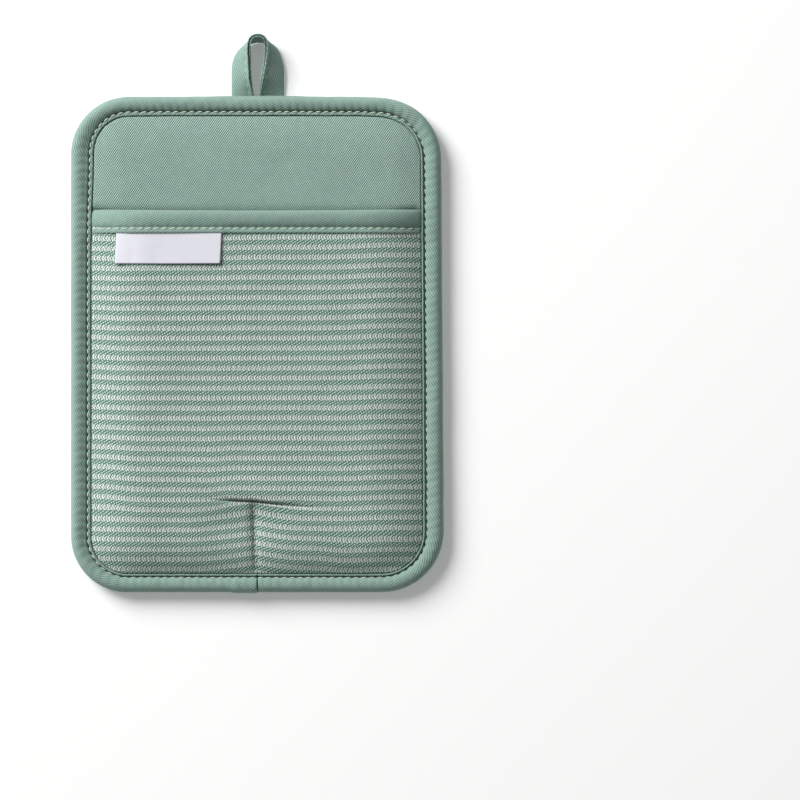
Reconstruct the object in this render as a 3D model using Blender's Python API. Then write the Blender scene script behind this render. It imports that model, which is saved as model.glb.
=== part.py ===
"""Pot holder with a hand pocket, lying on its ribbed silicone back.

Metres, +Z up, the hanging loop towards +Y.  The origin is under the middle of the whole
piece (body and loop), at the height of the surface that the rib crests rest on.
From the bottom up: silicone back, padded panel, striped pocket, twill band, woven label,
all held at the rim by one folded twill tape, with a stitched loop at the top.
"""

import math
from collections import namedtuple

import bmesh
import bpy
from mathutils import Vector

MM = 0.001
GAP = 0.3 * MM

# Outline of the body, measured outside the edge binding
BODY_WIDTH = 178.0 * MM
BODY_LENGTH = 236.6 * MM
LOOP_REACH = 29.8 * MM
TOP_NARROWING = 1.2 * MM
SHARPEST_CORNER = 2.0 * MM
HALF_WIDTH = BODY_WIDTH / 2
BOTTOM_Y = -(BODY_LENGTH + LOOP_REACH) / 2
TOP_Y = BOTTOM_Y + BODY_LENGTH
MIDDLE_Y = (BOTTOM_Y + TOP_Y) / 2

# Edge binding, seen from above, on each side
BINDING_WIDTH = {"bottom": 7.8 * MM, "right": 9.9 * MM, "top": 8.8 * MM, "left": 10.0 * MM}
TUCKED_SHARE = 0.42
LAP_X = -0.5 * MM
LAP_LENGTH = 13.0 * MM
LAP_STEP = 0.4 * MM
LAP_FADE = 3.0 * MM
LAP_RISE = 0.35 * MM

# Pocket mouth and its folded band
MOUTH_Y = TOP_Y - 54.1 * MM
BAND_HEIGHT = 11.4 * MM
BAND_LOW_Y = MOUTH_Y - BAND_HEIGHT
BAND_RAMP = 3.5 * MM

# Silicone back
WEB_LOW = 1.5 * MM
WEB_HIGH = 2.5 * MM
RIB_COUNT = 68
RIB_WIDTH = 2.5 * MM
RIB_CREST = 1.2 * MM
RIB_SINK = 0.4 * MM
RIB_SHOULDER = 0.9 * MM
RIB_ROUND = 0.3 * MM
WEB_INSET = 0.1 * MM
WEB_LOW_AT_LOOP = 2.3 * MM
WEB_HIGH_AT_LOOP = 3.1 * MM

# Padded panel
PAD_LOW = 2.8 * MM
PAD_LOW_AT_LOOP = 3.4 * MM
PAD_RINGS = (0.0, 3.0 * MM, 8.0 * MM, 15.0 * MM, 24.0 * MM, 36.0 * MM, 50.0 * MM)
RIM_OPEN = 6.35 * MM
RIM_POCKET = 4.75 * MM
RIM_BAND = 3.6 * MM
CROWN_OPEN = 8.2 * MM
CROWN_POCKET = 6.7 * MM
CROWN_REACH = 40.0 * MM
CROWN_RAMP = 10.0 * MM

# Pocket sheet: the height of its middle and its thickness
POCKET_RIM = 5.775 * MM
POCKET_RIM_BAND = 5.4 * MM
POCKET_THICK = 1.6 * MM
POCKET_THICK_RIM = 1.15 * MM
POCKET_THICK_BAND = 0.8 * MM
POCKET_RISE = 8.4 * MM
POCKET_SIDE_SHARE = 0.38
POCKET_SIDE_POWER = 2.3
POCKET_FOOT_REACH = 28.0 * MM
POCKET_FOOT_POWER = 2.8
POCKET_FOOT_CURVE = 19.4 * MM
POCKET_RIM_SHARE = 0.95

# Tuck at the foot of the pocket: an upright seam under a short overhanging fold
SEAM_TOP = Vector((-2.05 * MM, -88.6 * MM))
SEAM_FOOT = Vector((-0.7 * MM, -124.6 * MM))
FOLD_SLOPE = -0.085
FOLD_HALF = 20.0 * MM
FOLD_BEND = 7.0 * MM
TUCK_DROP = 4.0 * MM
TUCK_WIDTH = 19.0 * MM
TUCK_STEP = 1.6 * MM
SEAM_DEPTH = 1.8 * MM
SEAM_WIDTH = 3.5 * MM
PUFF_RISE = 0.8 * MM
PUFF_WIDTH = 18.0 * MM
PUFF_LENGTH = 9.0 * MM

# Label
LABEL_LEFT = -67.5 * MM
LABEL_RIGHT = -17.4 * MM
LABEL_LOW_Y = MOUTH_Y - 25.4 * MM
LABEL_TOP_Y = MOUTH_Y - 9.0 * MM
LABEL_THICK = 0.6 * MM
LABEL_GAP = 0.4 * MM
LABEL_RAMP = 1.8 * MM
LABEL_MARGIN = 0.6 * MM

# Hanging loop: a doubled tape, flat under the binding and on edge at its crown
LOOP_X = 0.15 * MM
LOOP_HALF = 13.6 * MM
LOOP_RAMP = 2.0 * MM
LOOP_THICK = 1.7 * MM
LOOP_CHAMFER = 0.35 * MM
LOOP_STEPS = 4

CORNER_STEPS = 8
SIDE_SPACING = 19.0 * MM

Corner = namedtuple("Corner", "side_x side_y out_x out_y radius start")
CORNERS = (
    Corner("right", "bottom", 1, -1, 29.6 * MM, -90),
    Corner("right", "top", 1, 1, 30.5 * MM, 0),
    Corner("left", "top", -1, 1, 27.7 * MM, 90),
    Corner("left", "bottom", -1, -1, 27.0 * MM, 180),
)

# Section of the edge binding, from the upper flange round the bead to the lower flange and
# back along the inside.  share: part of the binding's width, 0 at the outline.  Heights in
# millimetres: plain, where the band's end lies under it, and where it crosses the loop.
BindingRow = namedtuple("BindingRow", "share plain band loop")
BINDING_ROWS = (
    BindingRow(1.00, 7.65, 8.20, 7.65),
    BindingRow(0.92, 7.80, 8.30, 7.80),
    BindingRow(0.84, 7.30, 7.85, 7.30),
    BindingRow(0.76, 7.95, 8.35, 7.95),
    BindingRow(0.62, 8.75, 8.95, 8.75),
    BindingRow(0.46, 9.05, 9.10, 9.05),
    BindingRow(0.28, 8.60, 8.60, 8.60),
    BindingRow(0.13, 7.50, 7.50, 7.50),
    BindingRow(0.03, 5.95, 5.95, 5.95),
    BindingRow(0.00, 4.45, 4.45, 4.60),
    BindingRow(0.04, 2.95, 2.95, 3.40),
    BindingRow(0.14, 1.45, 1.45, 2.50),
    BindingRow(0.28, 0.45, 0.45, 1.75),
    BindingRow(0.46, 0.00, 0.00, 1.30),
    BindingRow(0.64, 0.15, 0.15, 1.30),
    BindingRow(0.80, 0.60, 0.60, 1.30),
    BindingRow(0.92, 0.40, 0.40, 1.30),
    BindingRow(1.00, 0.40, 0.40, 0.70),
    BindingRow(1.00, 1.20, 1.20, 1.20),
    BindingRow(0.92, 1.20, 1.20, 2.00),
    BindingRow(0.60, 1.20, 1.20, 2.00),
    BindingRow(0.36, 1.20, 1.20, 2.00),
    BindingRow(0.17, 2.80, 2.80, 3.60),
    BindingRow(0.17, 6.00, 6.00, 6.00),
    BindingRow(0.36, 7.50, 7.50, 7.50),
    BindingRow(0.60, 7.55, 7.65, 7.55),
    BindingRow(0.82, 6.65, 7.20, 6.65),
    BindingRow(1.00, 6.65, 7.20, 6.65),
)
LAP_ROWS = range(2, 8)

# Section of the band over the pocket's mouth.  drop: distance below the fold, height: over
# the middle of the sheet, label: how far the label lifts it.  All in millimetres.
BandRow = namedtuple("BandRow", "drop height label")
BAND_ROWS = (
    BandRow(11.4, 1.45, 0.9),
    BandRow(8.8, 1.30, 0.9),
    BandRow(7.0, 1.50, 0.0),
    BandRow(2.0, 1.50, 0.0),
    BandRow(0.5, 1.10, 0.0),
    BandRow(0.0, 0.00, 0.0),
    BandRow(0.5, -1.10, 0.0),
    BandRow(2.0, -1.50, 0.0),
    BandRow(10.8, -1.50, 0.0),
    BandRow(10.8, -0.70, 0.0),
    BandRow(1.1, -0.70, 0.0),
    BandRow(0.8, 0.00, 0.0),
    BandRow(1.1, 0.70, 0.0),
    BandRow(7.2, 0.70, 0.0),
    BandRow(8.6, 0.70, 0.9),
    BandRow(11.4, 0.70, 0.9),
)

# Edges of the loop's tape from the left end over the crown to the right end, measured from
# the loop's middle and the top of the body, in millimetres.  The low edge is the outer one.
LoopRow = namedtuple("LoopRow", "low_x low_y low_z high_x high_y high_z thick")
LOOP_ROWS = (
    LoopRow(-12.4, -7.9, 0.5, -1.5, -7.9, 0.5, 1.0),
    LoopRow(-12.4, -3.0, 0.5, -1.5, -3.0, 0.5, 1.0),
    LoopRow(-12.3, 0.5, 0.7, -2.1, 0.5, 2.2, 1.3),
    LoopRow(-11.8, 8.6, 0.85, -4.6, 8.6, 7.9, 1.7),
    LoopRow(-11.3, 16.2, 0.65, -5.3, 16.4, 9.8, 1.7),
    LoopRow(-8.6, 22.2, 0.45, -4.7, 22.3, 10.8, 1.7),
    LoopRow(-4.6, 26.5, 0.25, -3.0, 26.3, 11.3, 1.7),
    LoopRow(-1.2, 28.95, 0.05, -1.2, 28.95, 11.5, 1.7),
    LoopRow(1.2, 28.95, 0.05, 1.2, 28.95, 11.5, 1.7),
    LoopRow(5.0, 26.6, 0.25, 3.3, 26.4, 11.3, 1.7),
    LoopRow(9.0, 22.0, 0.45, 4.8, 22.1, 10.8, 1.7),
    LoopRow(11.6, 15.2, 0.65, 5.2, 15.8, 9.8, 1.7),
    LoopRow(12.0, 8.0, 0.85, 4.4, 8.2, 7.9, 1.7),
    LoopRow(12.3, 0.5, 0.7, 2.1, 0.5, 2.2, 1.3),
    LoopRow(12.4, -3.0, 0.5, 1.5, -3.0, 0.5, 1.0),
    LoopRow(12.4, -7.9, 0.5, 1.5, -7.9, 0.5, 1.0),
)
LOOP_CROWN = 7

Finish = namedtuple("Finish", "name colour roughness")
PANEL_TWILL = Finish("panel_twill", (0.26, 0.38, 0.33), 0.92)
BINDING_TWILL = Finish("binding_twill", (0.24, 0.35, 0.30), 0.92)
STRIPED_CLOTH = Finish("striped_cloth", (0.36, 0.46, 0.41), 0.95)
RIBBED_SILICONE = Finish("ribbed_silicone", (0.30, 0.44, 0.38), 0.45)
LABEL_SATIN = Finish("label_satin", (0.84, 0.83, 0.88), 0.6)


def ease(value):
    """0 to 1 with level ends, for a value that runs from 0 to 1."""
    share = min(max(value, 0.0), 1.0)
    return share * share * (3.0 - 2.0 * share)


def mix(start, end, share):
    return start + (end - start) * share


def within(value, low, high, ramp):
    """1 between low and high, easing to 0 over the ramp on either side."""
    return ease((value - low) / ramp + 1.0) * ease((high - value) / ramp + 1.0)


# ---- outline ----


def side_lines(share, further):
    """The straight sides moved in by a share of the binding's width and a further distance."""
    inset = {side: share * width + further for side, width in BINDING_WIDTH.items()}
    return {
        "bottom": BOTTOM_Y + inset["bottom"],
        "right": HALF_WIDTH - inset["right"],
        "top": TOP_Y - inset["top"],
        "left": -HALF_WIDTH + inset["left"],
    }


def corner_arc(corner, share, further):
    """Centre and radius of a corner at that inset."""
    lines = side_lines(share, further)
    inset = share * (BINDING_WIDTH[corner.side_x] + BINDING_WIDTH[corner.side_y]) / 2 + further
    radius = max(corner.radius - inset, SHARPEST_CORNER)
    centre_x = lines[corner.side_x] - corner.out_x * radius
    centre_y = lines[corner.side_y] - corner.out_y * radius
    return centre_x, centre_y, radius


def side_shares(start, end, marks):
    """Places of the stations along a side, as shares of it, with one at each mark."""
    stops = [start] + sorted(marks, reverse=end < start) + [end]
    shares = []
    for low, high in zip(stops, stops[1:]):
        pieces = math.ceil(abs(high - low) / SIDE_SPACING)
        shares += [(mix(low, high, step / pieces) - start) / (end - start) for step in range(1, pieces + 1)]
    return shares[:-1]


def stations_by_side():
    """Stations of the right, top, left and bottom side, in the order of the outline."""
    band_marks = [BAND_LOW_Y - BAND_RAMP - MM, BAND_LOW_Y - MM, MOUTH_Y + MM, MOUTH_Y + BAND_RAMP + MM]
    loop_marks = [
        LOOP_X + side * reach for side in (-1, 1) for reach in (LOOP_HALF, LOOP_HALF + LOOP_RAMP)
    ]
    lap_marks = [LAP_X - LAP_LENGTH - LAP_FADE, LAP_X - LAP_LENGTH, LAP_X, LAP_X + LAP_STEP]
    marks = (band_marks, loop_marks, band_marks, lap_marks)
    centres = [corner_arc(corner, 0.0, 0.0) for corner in CORNERS]
    shares = []
    for index, side_marks in enumerate(marks):
        axis = 1 if index % 2 == 0 else 0
        shares.append(side_shares(centres[index][axis], centres[(index + 1) % 4][axis], side_marks))
    return shares


SIDE_SHARES = stations_by_side()


def outline_ring(share, further=0.0):
    """Points of the outline at that inset, counter-clockwise from the lower right corner."""
    arcs = []
    for corner in CORNERS:
        centre_x, centre_y, radius = corner_arc(corner, share, further)
        angles = [math.radians(corner.start + 90 * step / CORNER_STEPS) for step in range(CORNER_STEPS + 1)]
        arcs.append([(centre_x + radius * math.cos(a), centre_y + radius * math.sin(a)) for a in angles])
    points = []
    for index, arc in enumerate(arcs):
        points += arc
        ahead = arcs[(index + 1) % 4][0]
        points += [(mix(arc[-1][0], ahead[0], s), mix(arc[-1][1], ahead[1], s)) for s in SIDE_SHARES[index]]
    return points


def span_at(y, share, further=0.0):
    """Left and right x of the outline at that inset and height."""
    lines = side_lines(share, further)
    ends = {"left": lines["left"], "right": lines["right"]}
    for corner in CORNERS:
        centre_x, centre_y, radius = corner_arc(corner, share, further)
        beyond = (y - centre_y) * corner.out_y
        if beyond > 0:
            reach = math.sqrt(max(radius**2 - min(beyond, radius) ** 2, 0.0))
            ends[corner.side_x] = centre_x + corner.out_x * reach
    return ends["left"], ends["right"]


# ---- shared shapes of the layers ----


def band_share(y):
    """1 where the pocket's band lies, 0 away from it."""
    return within(y, BAND_LOW_Y - MM, MOUTH_Y + MM, BAND_RAMP)


def loop_share(x):
    """1 where the tape of the loop crosses the top edge, 0 beside it."""
    return within(x, LOOP_X - LOOP_HALF, LOOP_X + LOOP_HALF, LOOP_RAMP)


def label_share(x):
    return within(x, LABEL_LEFT - LABEL_MARGIN, LABEL_RIGHT + LABEL_MARGIN, LABEL_RAMP)


def pad_height(x, y, inside):
    """Top of the padded panel, a distance inside the binding's inner edge."""
    rim = mix(RIM_POCKET, RIM_OPEN, ease((y - MOUTH_Y + MM) / (2 * BAND_RAMP)))
    rim = mix(rim, RIM_BAND, band_share(y))
    crown = mix(CROWN_POCKET, CROWN_OPEN, ease((y - MOUTH_Y) / CROWN_RAMP))
    rise = 1.0 - (1.0 - min(inside / CROWN_REACH, 1.0)) ** 2
    return mix(rim, crown, rise)


def seam_x(y):
    share = min(max((y - SEAM_FOOT.y) / (SEAM_TOP.y - SEAM_FOOT.y), 0.0), 1.0)
    return mix(SEAM_FOOT.x, SEAM_TOP.x, share)


def fold_y(x):
    """Height on the holder of the overhanging fold."""
    across = min(max(x - SEAM_TOP.x, -FOLD_HALF), FOLD_HALF)
    return SEAM_TOP.y + FOLD_SLOPE * across


def tuck_height(x, y):
    """What the tuck adds to the pocket's height: a drop and a seam below the fold, a puff above."""
    across = abs(x - seam_x(y))
    above = y - fold_y(x)
    foot = min(max((y - SEAM_FOOT.y) / (SEAM_TOP.y - SEAM_FOOT.y), 0.0), 1.0)
    below_fold = 1.0 - ease(above / TUCK_STEP)
    drop = TUCK_DROP * math.exp(-((across / TUCK_WIDTH) ** 2)) * foot
    seam = SEAM_DEPTH * math.exp(-across / SEAM_WIDTH) * foot**1.3
    puff = PUFF_RISE * math.exp(-((across / PUFF_WIDTH) ** 2)) * math.exp(-((above / PUFF_LENGTH - 0.5) ** 2))
    return puff * (1.0 - below_fold) - (drop + seam) * below_fold


def pocket_middle(across, x, y):
    """Middle of the pocket sheet; across runs from -1 to 1 between the binding's inner edges."""
    rim = mix(POCKET_RIM, POCKET_RIM_BAND, band_share(y))
    inwards = min((1.0 - min(abs(across), 1.0)) / POCKET_SIDE_SHARE, 1.0)
    sides = 1.0 - (1.0 - inwards) ** POCKET_SIDE_POWER
    up = min(max((y - side_lines(1.0, 0.0)["bottom"]) / POCKET_FOOT_REACH, 0.0), 1.0)
    foot = 1.0 - (1.0 - up) ** POCKET_FOOT_POWER
    return rim + POCKET_RISE * sides * foot + tuck_height(x, y) * sides


def pocket_thickness(across, y):
    thick = POCKET_THICK if abs(across) < POCKET_RIM_SHARE else POCKET_THICK_RIM
    if y < side_lines(1.0, 0.0)["bottom"] + MM:
        thick = POCKET_THICK_RIM
    return POCKET_THICK_BAND if y > BAND_LOW_Y - 0.5 * MM else thick


# ---- mesh helpers ----


def add_ring(bm, points, heights):
    return [bm.verts.new((x, y, z)) for (x, y), z in zip(points, heights)]


def skin(bm, first, second):
    """Quads between two closed rings of equal length."""
    count = len(first)
    for index in range(count):
        after = (index + 1) % count
        bm.faces.new((first[index], first[after], second[after], second[index]))


def lean(bm):
    """The right edge leans in a little towards the top."""
    for vertex in bm.verts:
        towards_top = ease((vertex.co.y - BOTTOM_Y) / BODY_LENGTH)
        vertex.co.x -= TOP_NARROWING * towards_top * max(vertex.co.x / HALF_WIDTH, 0.0)


def make_object(bm, name, finish, leaning=True):
    """Turns a finished bmesh into an object with its own material."""
    if leaning:
        lean(bm)
    bmesh.ops.recalc_face_normals(bm, faces=bm.faces[:])
    mesh = bpy.data.meshes.new(name)
    bm.to_mesh(mesh)
    bm.free()
    mesh.shade_smooth()
    mesh.set_sharp_from_angle(angle=math.radians(50))
    part = bpy.data.objects.new(name, mesh)
    bpy.context.scene.collection.objects.link(part)
    material = bpy.data.materials.new(finish.name)
    material.use_nodes = True
    surface = material.node_tree.nodes["Principled BSDF"]
    surface.inputs["Base Color"].default_value = (*finish.colour, 1.0)
    surface.inputs["Roughness"].default_value = finish.roughness
    surface.inputs["Metallic"].default_value = 0.0
    mesh.materials.append(material)
    return part


# ---- silicone back ----


def silicone_web():
    """Flat sheet of the back, raised a little where the loop's ends cross its top edge."""
    tucked = outline_ring(TUCKED_SHARE)
    crossed = outline_ring(0.92)
    clear = outline_ring(1.0, WEB_INSET)
    over_loop = [loop_share(x) if y > MIDDLE_Y else 0.0 for x, y in tucked]
    low = [mix(WEB_LOW, WEB_LOW_AT_LOOP, share) for share in over_loop]
    high = [mix(WEB_HIGH, WEB_HIGH_AT_LOOP, share) for share in over_loop]
    bm = bmesh.new()
    rings = [
        add_ring(bm, clear, [WEB_LOW] * len(clear)),
        add_ring(bm, crossed, low),
        add_ring(bm, tucked, low),
        add_ring(bm, tucked, high),
        add_ring(bm, crossed, high),
        add_ring(bm, clear, [WEB_HIGH] * len(clear)),
    ]
    for first, second in zip(rings, rings[1:]):
        skin(bm, first, second)
    bm.faces.new(rings[0])
    bm.faces.new(rings[-1])
    return make_object(bm, "silicone_back", RIBBED_SILICONE)


def rib_section():
    """Half-round section of a rib with a flat crest, as offsets along Y and heights."""
    half = RIB_WIDTH / 2
    crest = RIB_CREST / 2
    shoulder = mix(half, crest, 0.4)
    return (
        (-half, WEB_LOW + RIB_SINK),
        (-half, RIB_SHOULDER),
        (-shoulder, RIB_ROUND),
        (-crest, 0.0),
        (crest, 0.0),
        (shoulder, RIB_ROUND),
        (half, RIB_SHOULDER),
        (half, WEB_LOW + RIB_SINK),
    )


def silicone_ribs():
    """All ribs as one helper that is joined to the web."""
    lines = side_lines(1.0, GAP)
    pitch = (lines["top"] - lines["bottom"]) / RIB_COUNT
    bm = bmesh.new()
    for index in range(RIB_COUNT):
        middle = lines["bottom"] + pitch * (index + 0.5)
        outer = middle + math.copysign(RIB_WIDTH / 2, middle - MIDDLE_Y)
        left, right = span_at(outer, 1.0, GAP)
        ends = []
        for x in (left, right):
            ends.append([bm.verts.new((x, middle + along, height)) for along, height in rib_section()])
        skin(bm, ends[0], ends[1])
        bm.faces.new(ends[0])
        bm.faces.new(ends[1])
    ribs = make_object(bm, "rib_shapes", RIBBED_SILICONE)
    ribs.hide_render = True
    ribs.display_type = "WIRE"
    return ribs


def silicone_back():
    back = silicone_web()
    joined = back.modifiers.new("ribs", "BOOLEAN")
    joined.operation = "UNION"
    joined.solver = "EXACT"
    joined.object = silicone_ribs()


# ---- padded panel ----


def padded_panel():
    """Twill panel and its filling, pressed flat at the rim and under the pocket's band."""
    levels = [(TUCKED_SHARE, 0.0), (0.9, 0.0)] + [(1.0, inside) for inside in PAD_RINGS]
    bm = bmesh.new()
    top_rings = []
    for share, inside in levels:
        points = outline_ring(share, inside)
        top_rings.append(add_ring(bm, points, [pad_height(x, y, inside) for x, y in points]))
    low_rings = []
    for share, further in ((TUCKED_SHARE, 0.0), (0.92, 0.0), (1.0, WEB_INSET)):
        points = outline_ring(share, further)
        raised = PAD_LOW_AT_LOOP if share < 1.0 else PAD_LOW
        heights = [mix(PAD_LOW, raised, loop_share(x) if y > MIDDLE_Y else 0.0) for x, y in points]
        low_rings.append(add_ring(bm, points, heights))
    skin(bm, low_rings[0], top_rings[0])
    for rings in (top_rings, low_rings):
        for first, second in zip(rings, rings[1:]):
            skin(bm, first, second)
        bm.faces.new(rings[-1])
    make_object(bm, "padded_panel", PANEL_TWILL)


# ---- pocket ----


def pocket_rows():
    """Heights of the rows of the pocket's grid, from the foot to inside the band."""
    foot = side_lines(1.0, 0.0)["bottom"]
    angles = (0, 15, 30, 45, 60, 75, 90)
    rows = [foot + POCKET_FOOT_CURVE * (1 - math.cos(math.radians(angle))) for angle in angles]
    fold = SEAM_TOP.y
    rows += [fold - 9 * MM, fold - 5 * MM, fold - 2.2 * MM, fold - 0.4 * MM, fold + 0.8 * MM]
    rows += [fold + 2.0 * MM, fold + 4.0 * MM, fold + 8.0 * MM, fold + 15.0 * MM]
    free = BAND_LOW_Y - BAND_RAMP - MM
    steps = 9
    rows += [mix(rows[-1], free, step / steps) for step in range(1, steps + 1)]
    return rows + [BAND_LOW_Y - 1.6 * MM, BAND_LOW_Y + 0.2 * MM, MOUTH_Y - 1.5 * MM]


def pocket_columns():
    """Places of the columns between the sides, from -1 to 1, closer at the seam."""
    right = [0.035, 0.075, 0.13, 0.2, 0.29, 0.4, 0.52, 0.65, 0.78, 0.89, 0.955, 1.0]
    return [-place for place in reversed(right)] + [0.0] + right


def pocket_point(across, y):
    """Place in plan of a grid point: rows bend along the fold of the tuck."""
    left, right = span_at(y, 1.0)
    middle = seam_x(y)
    x = middle + across * (right - middle if across > 0 else middle - left)
    near_fold = within(y, SEAM_TOP.y - 2.5 * MM, SEAM_TOP.y + 4 * MM, FOLD_BEND)
    return x, y + (fold_y(x) - SEAM_TOP.y) * near_fold * (1.0 - min(abs(across), 1.0) ** 4)


def cut_edge(across, x, y):
    """Place of the sheet's cut edge, inside the binding, next to a point of the sewn sides."""
    foot = side_lines(TUCKED_SHARE, 0.0)["bottom"]
    if abs(across) < 1.0:
        return x, foot
    corner = CORNERS[0] if across > 0 else CORNERS[3]
    _, centre_y, radius = corner_arc(corner, 1.0, 0.0)
    outer_x, outer_y, outer_radius = corner_arc(corner, TUCKED_SHARE, 0.0)
    below = min((centre_y - y) / radius, 1.0)
    if below <= 0.0:
        return side_lines(TUCKED_SHARE, 0.0)[corner.side_x], y
    return (
        outer_x + corner.out_x * outer_radius * math.sqrt(1.0 - below**2),
        outer_y - outer_radius * below,
    )


def pocket_layout():
    """Places (across, x, y) of the sheet's points, its faces and its rim, as indices."""
    rows = pocket_rows()
    columns = pocket_columns()
    width = len(columns)
    places = [(across, *pocket_point(across, y)) for y in rows for across in columns]
    faces = []
    for row in range(len(rows) - 1):
        for start in range(row * width, (row + 1) * width - 1):
            faces.append((start, start + 1, start + width + 1, start + width))
    left_side = [row * width for row in range(len(rows) - 1, 0, -1)]
    right_side = [row * width + width - 1 for row in range(1, len(rows))]
    sewn = left_side + list(range(width)) + right_side
    cut = []
    for index in sewn:
        across, x, y = places[index]
        cut.append(len(places))
        places.append((math.copysign(max(abs(across), 1.0), across), *cut_edge(across, x, y)))
    for step in range(len(sewn) - 1):
        faces.append((cut[step], cut[step + 1], sewn[step + 1], sewn[step]))
    mouth = list(range(len(rows) * width - 1, (len(rows) - 1) * width - 1, -1))
    return places, faces, cut + mouth


def sheet_solid(bm, lows, highs, faces, rim):
    """Closed sheet from its lower and upper points, its faces and its rim."""
    lower = [bm.verts.new(point) for point in lows]
    upper = [bm.verts.new(point) for point in highs]
    for face in faces:
        bm.faces.new([lower[index] for index in face])
        bm.faces.new([upper[index] for index in face])
    for index, after in zip(rim, rim[1:] + rim[:1]):
        bm.faces.new((lower[index], lower[after], upper[after], upper[index]))


def pocket_panel():
    """Striped cloth of the pocket, from the binding at its foot to inside the band."""
    places, faces, rim = pocket_layout()
    lows = []
    highs = []
    for across, x, y in places:
        middle = pocket_middle(across, x, y)
        half = pocket_thickness(across, y) / 2
        lows.append((x, y, middle - half))
        highs.append((x, y, middle + half))
    bm = bmesh.new()
    sheet_solid(bm, lows, highs, faces, rim)
    make_object(bm, "pocket_panel", STRIPED_CLOTH)


# ---- band, label ----


def across_at(x, y):
    """Place between the sides, from -1 to 1, of a point of the pocket."""
    left, right = span_at(y, 1.0)
    middle = seam_x(y)
    return (x - middle) / (right - middle if x > middle else middle - left)


def band_stations():
    """Places along the band: its tucked ends, the pocket's columns and the label's edges."""
    y = BAND_LOW_Y
    tucked = side_lines(TUCKED_SHARE, 0.0)
    inner = [pocket_point(across, y)[0] for across in pocket_columns()]
    label = [LABEL_LEFT - LABEL_MARGIN - LABEL_RAMP, LABEL_LEFT - LABEL_MARGIN]
    label += [LABEL_RIGHT + LABEL_MARGIN, LABEL_RIGHT + LABEL_MARGIN + LABEL_RAMP]
    return sorted([tucked["left"], tucked["right"]] + inner + label)


def pocket_binding():
    """Twill band folded over the pocket's mouth."""
    bm = bmesh.new()
    sections = []
    for x in band_stations():
        across = min(max(across_at(x, BAND_LOW_Y), -1.0), 1.0)
        middle = pocket_middle(across, x, MOUTH_Y)
        heights = [middle + (row.height + row.label * label_share(x)) * MM for row in BAND_ROWS]
        drops = [MOUTH_Y - row.drop * MM for row in BAND_ROWS]
        sections.append([bm.verts.new((x, y, z)) for y, z in zip(drops, heights)])
    for first, second in zip(sections, sections[1:]):
        skin(bm, first, second)
    bm.faces.new(sections[0])
    bm.faces.new(sections[-1])
    make_object(bm, "pocket_binding", BINDING_TWILL)


def label():
    """Woven label, its upper edge caught under the band."""
    rows = (LABEL_LOW_Y, mix(LABEL_LOW_Y, BAND_LOW_Y, 0.5), BAND_LOW_Y - 1.6 * MM, BAND_LOW_Y + 0.2 * MM)
    rows += (LABEL_TOP_Y,)
    columns = 7
    lows = []
    for y in rows:
        for column in range(columns):
            x = mix(LABEL_LEFT, LABEL_RIGHT, column / (columns - 1))
            across = across_at(x, y)
            top = pocket_middle(across, x, y) + pocket_thickness(across, y) / 2
            lows.append((x, y, top + (GAP if y > BAND_LOW_Y else LABEL_GAP)))
    highs = [(x, y, z + LABEL_THICK) for x, y, z in lows]
    faces = []
    for row in range(len(rows) - 1):
        for start in range(row * columns, (row + 1) * columns - 1):
            faces.append((start, start + 1, start + columns + 1, start + columns))
    last = len(lows) - 1
    rim = list(range(columns)) + list(range(2 * columns - 1, last, columns))
    rim += list(range(last, last - columns, -1)) + list(range(last - 2 * columns + 1, 0, -columns))
    bm = bmesh.new()
    sheet_solid(bm, lows, highs, faces, rim)
    make_object(bm, "label", LABEL_SATIN)


# ---- edge binding ----


def binding_height(index, x, y):
    """Height of one row of the section at a place on the outline."""
    row = BINDING_ROWS[index]
    height = mix(row.plain, row.band, band_share(y)) * MM
    if y > MIDDLE_Y:
        height = mix(height, row.loop * MM, loop_share(x))
    elif index in LAP_ROWS:
        height += LAP_RISE * within(x, LAP_X - LAP_LENGTH, LAP_X, LAP_STEP)
    return height


def edge_binding():
    """Twill tape folded over the rim, rolled into a bead with a stitched flange on each face."""
    bm = bmesh.new()
    rings = []
    for index, row in enumerate(BINDING_ROWS):
        points = outline_ring(row.share)
        rings.append(add_ring(bm, points, [binding_height(index, x, y) for x, y in points]))
    for first, second in zip(rings, rings[1:] + rings[:1]):
        skin(bm, first, second)
    make_object(bm, "edge_binding", BINDING_TWILL)


# ---- hanging loop ----


def loop_curve(rows, index, share):
    """Catmull-Rom value between two rows of the loop's table, for every column."""
    before = rows[max(index - 1, 0)]
    start = rows[index]
    end = rows[index + 1]
    after = rows[min(index + 2, len(rows) - 1)]
    values = []
    for p0, p1, p2, p3 in zip(before, start, end, after):
        bend = share * (p2 - p0 + share * (2 * p0 - 5 * p1 + 4 * p2 - p3 + share * (3 * (p1 - p2) + p3 - p0)))
        values.append(p1 + 0.5 * bend)
    return LoopRow(*values)


def loop_rows():
    """Rows of the table with smooth ones between them; the crown stays one flat facet."""
    rows = []
    for index in range(len(LOOP_ROWS) - 1):
        steps = 1 if index == LOOP_CROWN else LOOP_STEPS
        rows += [loop_curve(LOOP_ROWS, index, step / steps) for step in range(steps)]
    return rows + [LOOP_ROWS[-1]]


def loop_section(low, high, along, thick):
    """Chamfered rectangle from the low to the high edge of the tape."""
    width = high - low
    side = along.cross(width).normalized() * thick / 2
    inset = LOOP_CHAMFER / width.length
    corners = ((inset, 1.0), (1 - inset, 1.0), (1.0, 0.6), (1.0, -0.6), (1 - inset, -1.0), (inset, -1.0))
    corners += ((0.0, -0.6), (0.0, 0.6))
    points = [low + width * share + side * out for share, out in corners]
    lowest = min(point.z for point in points)
    return [point + Vector((0, 0, max(-lowest, 0.0))) for point in points]


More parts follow.
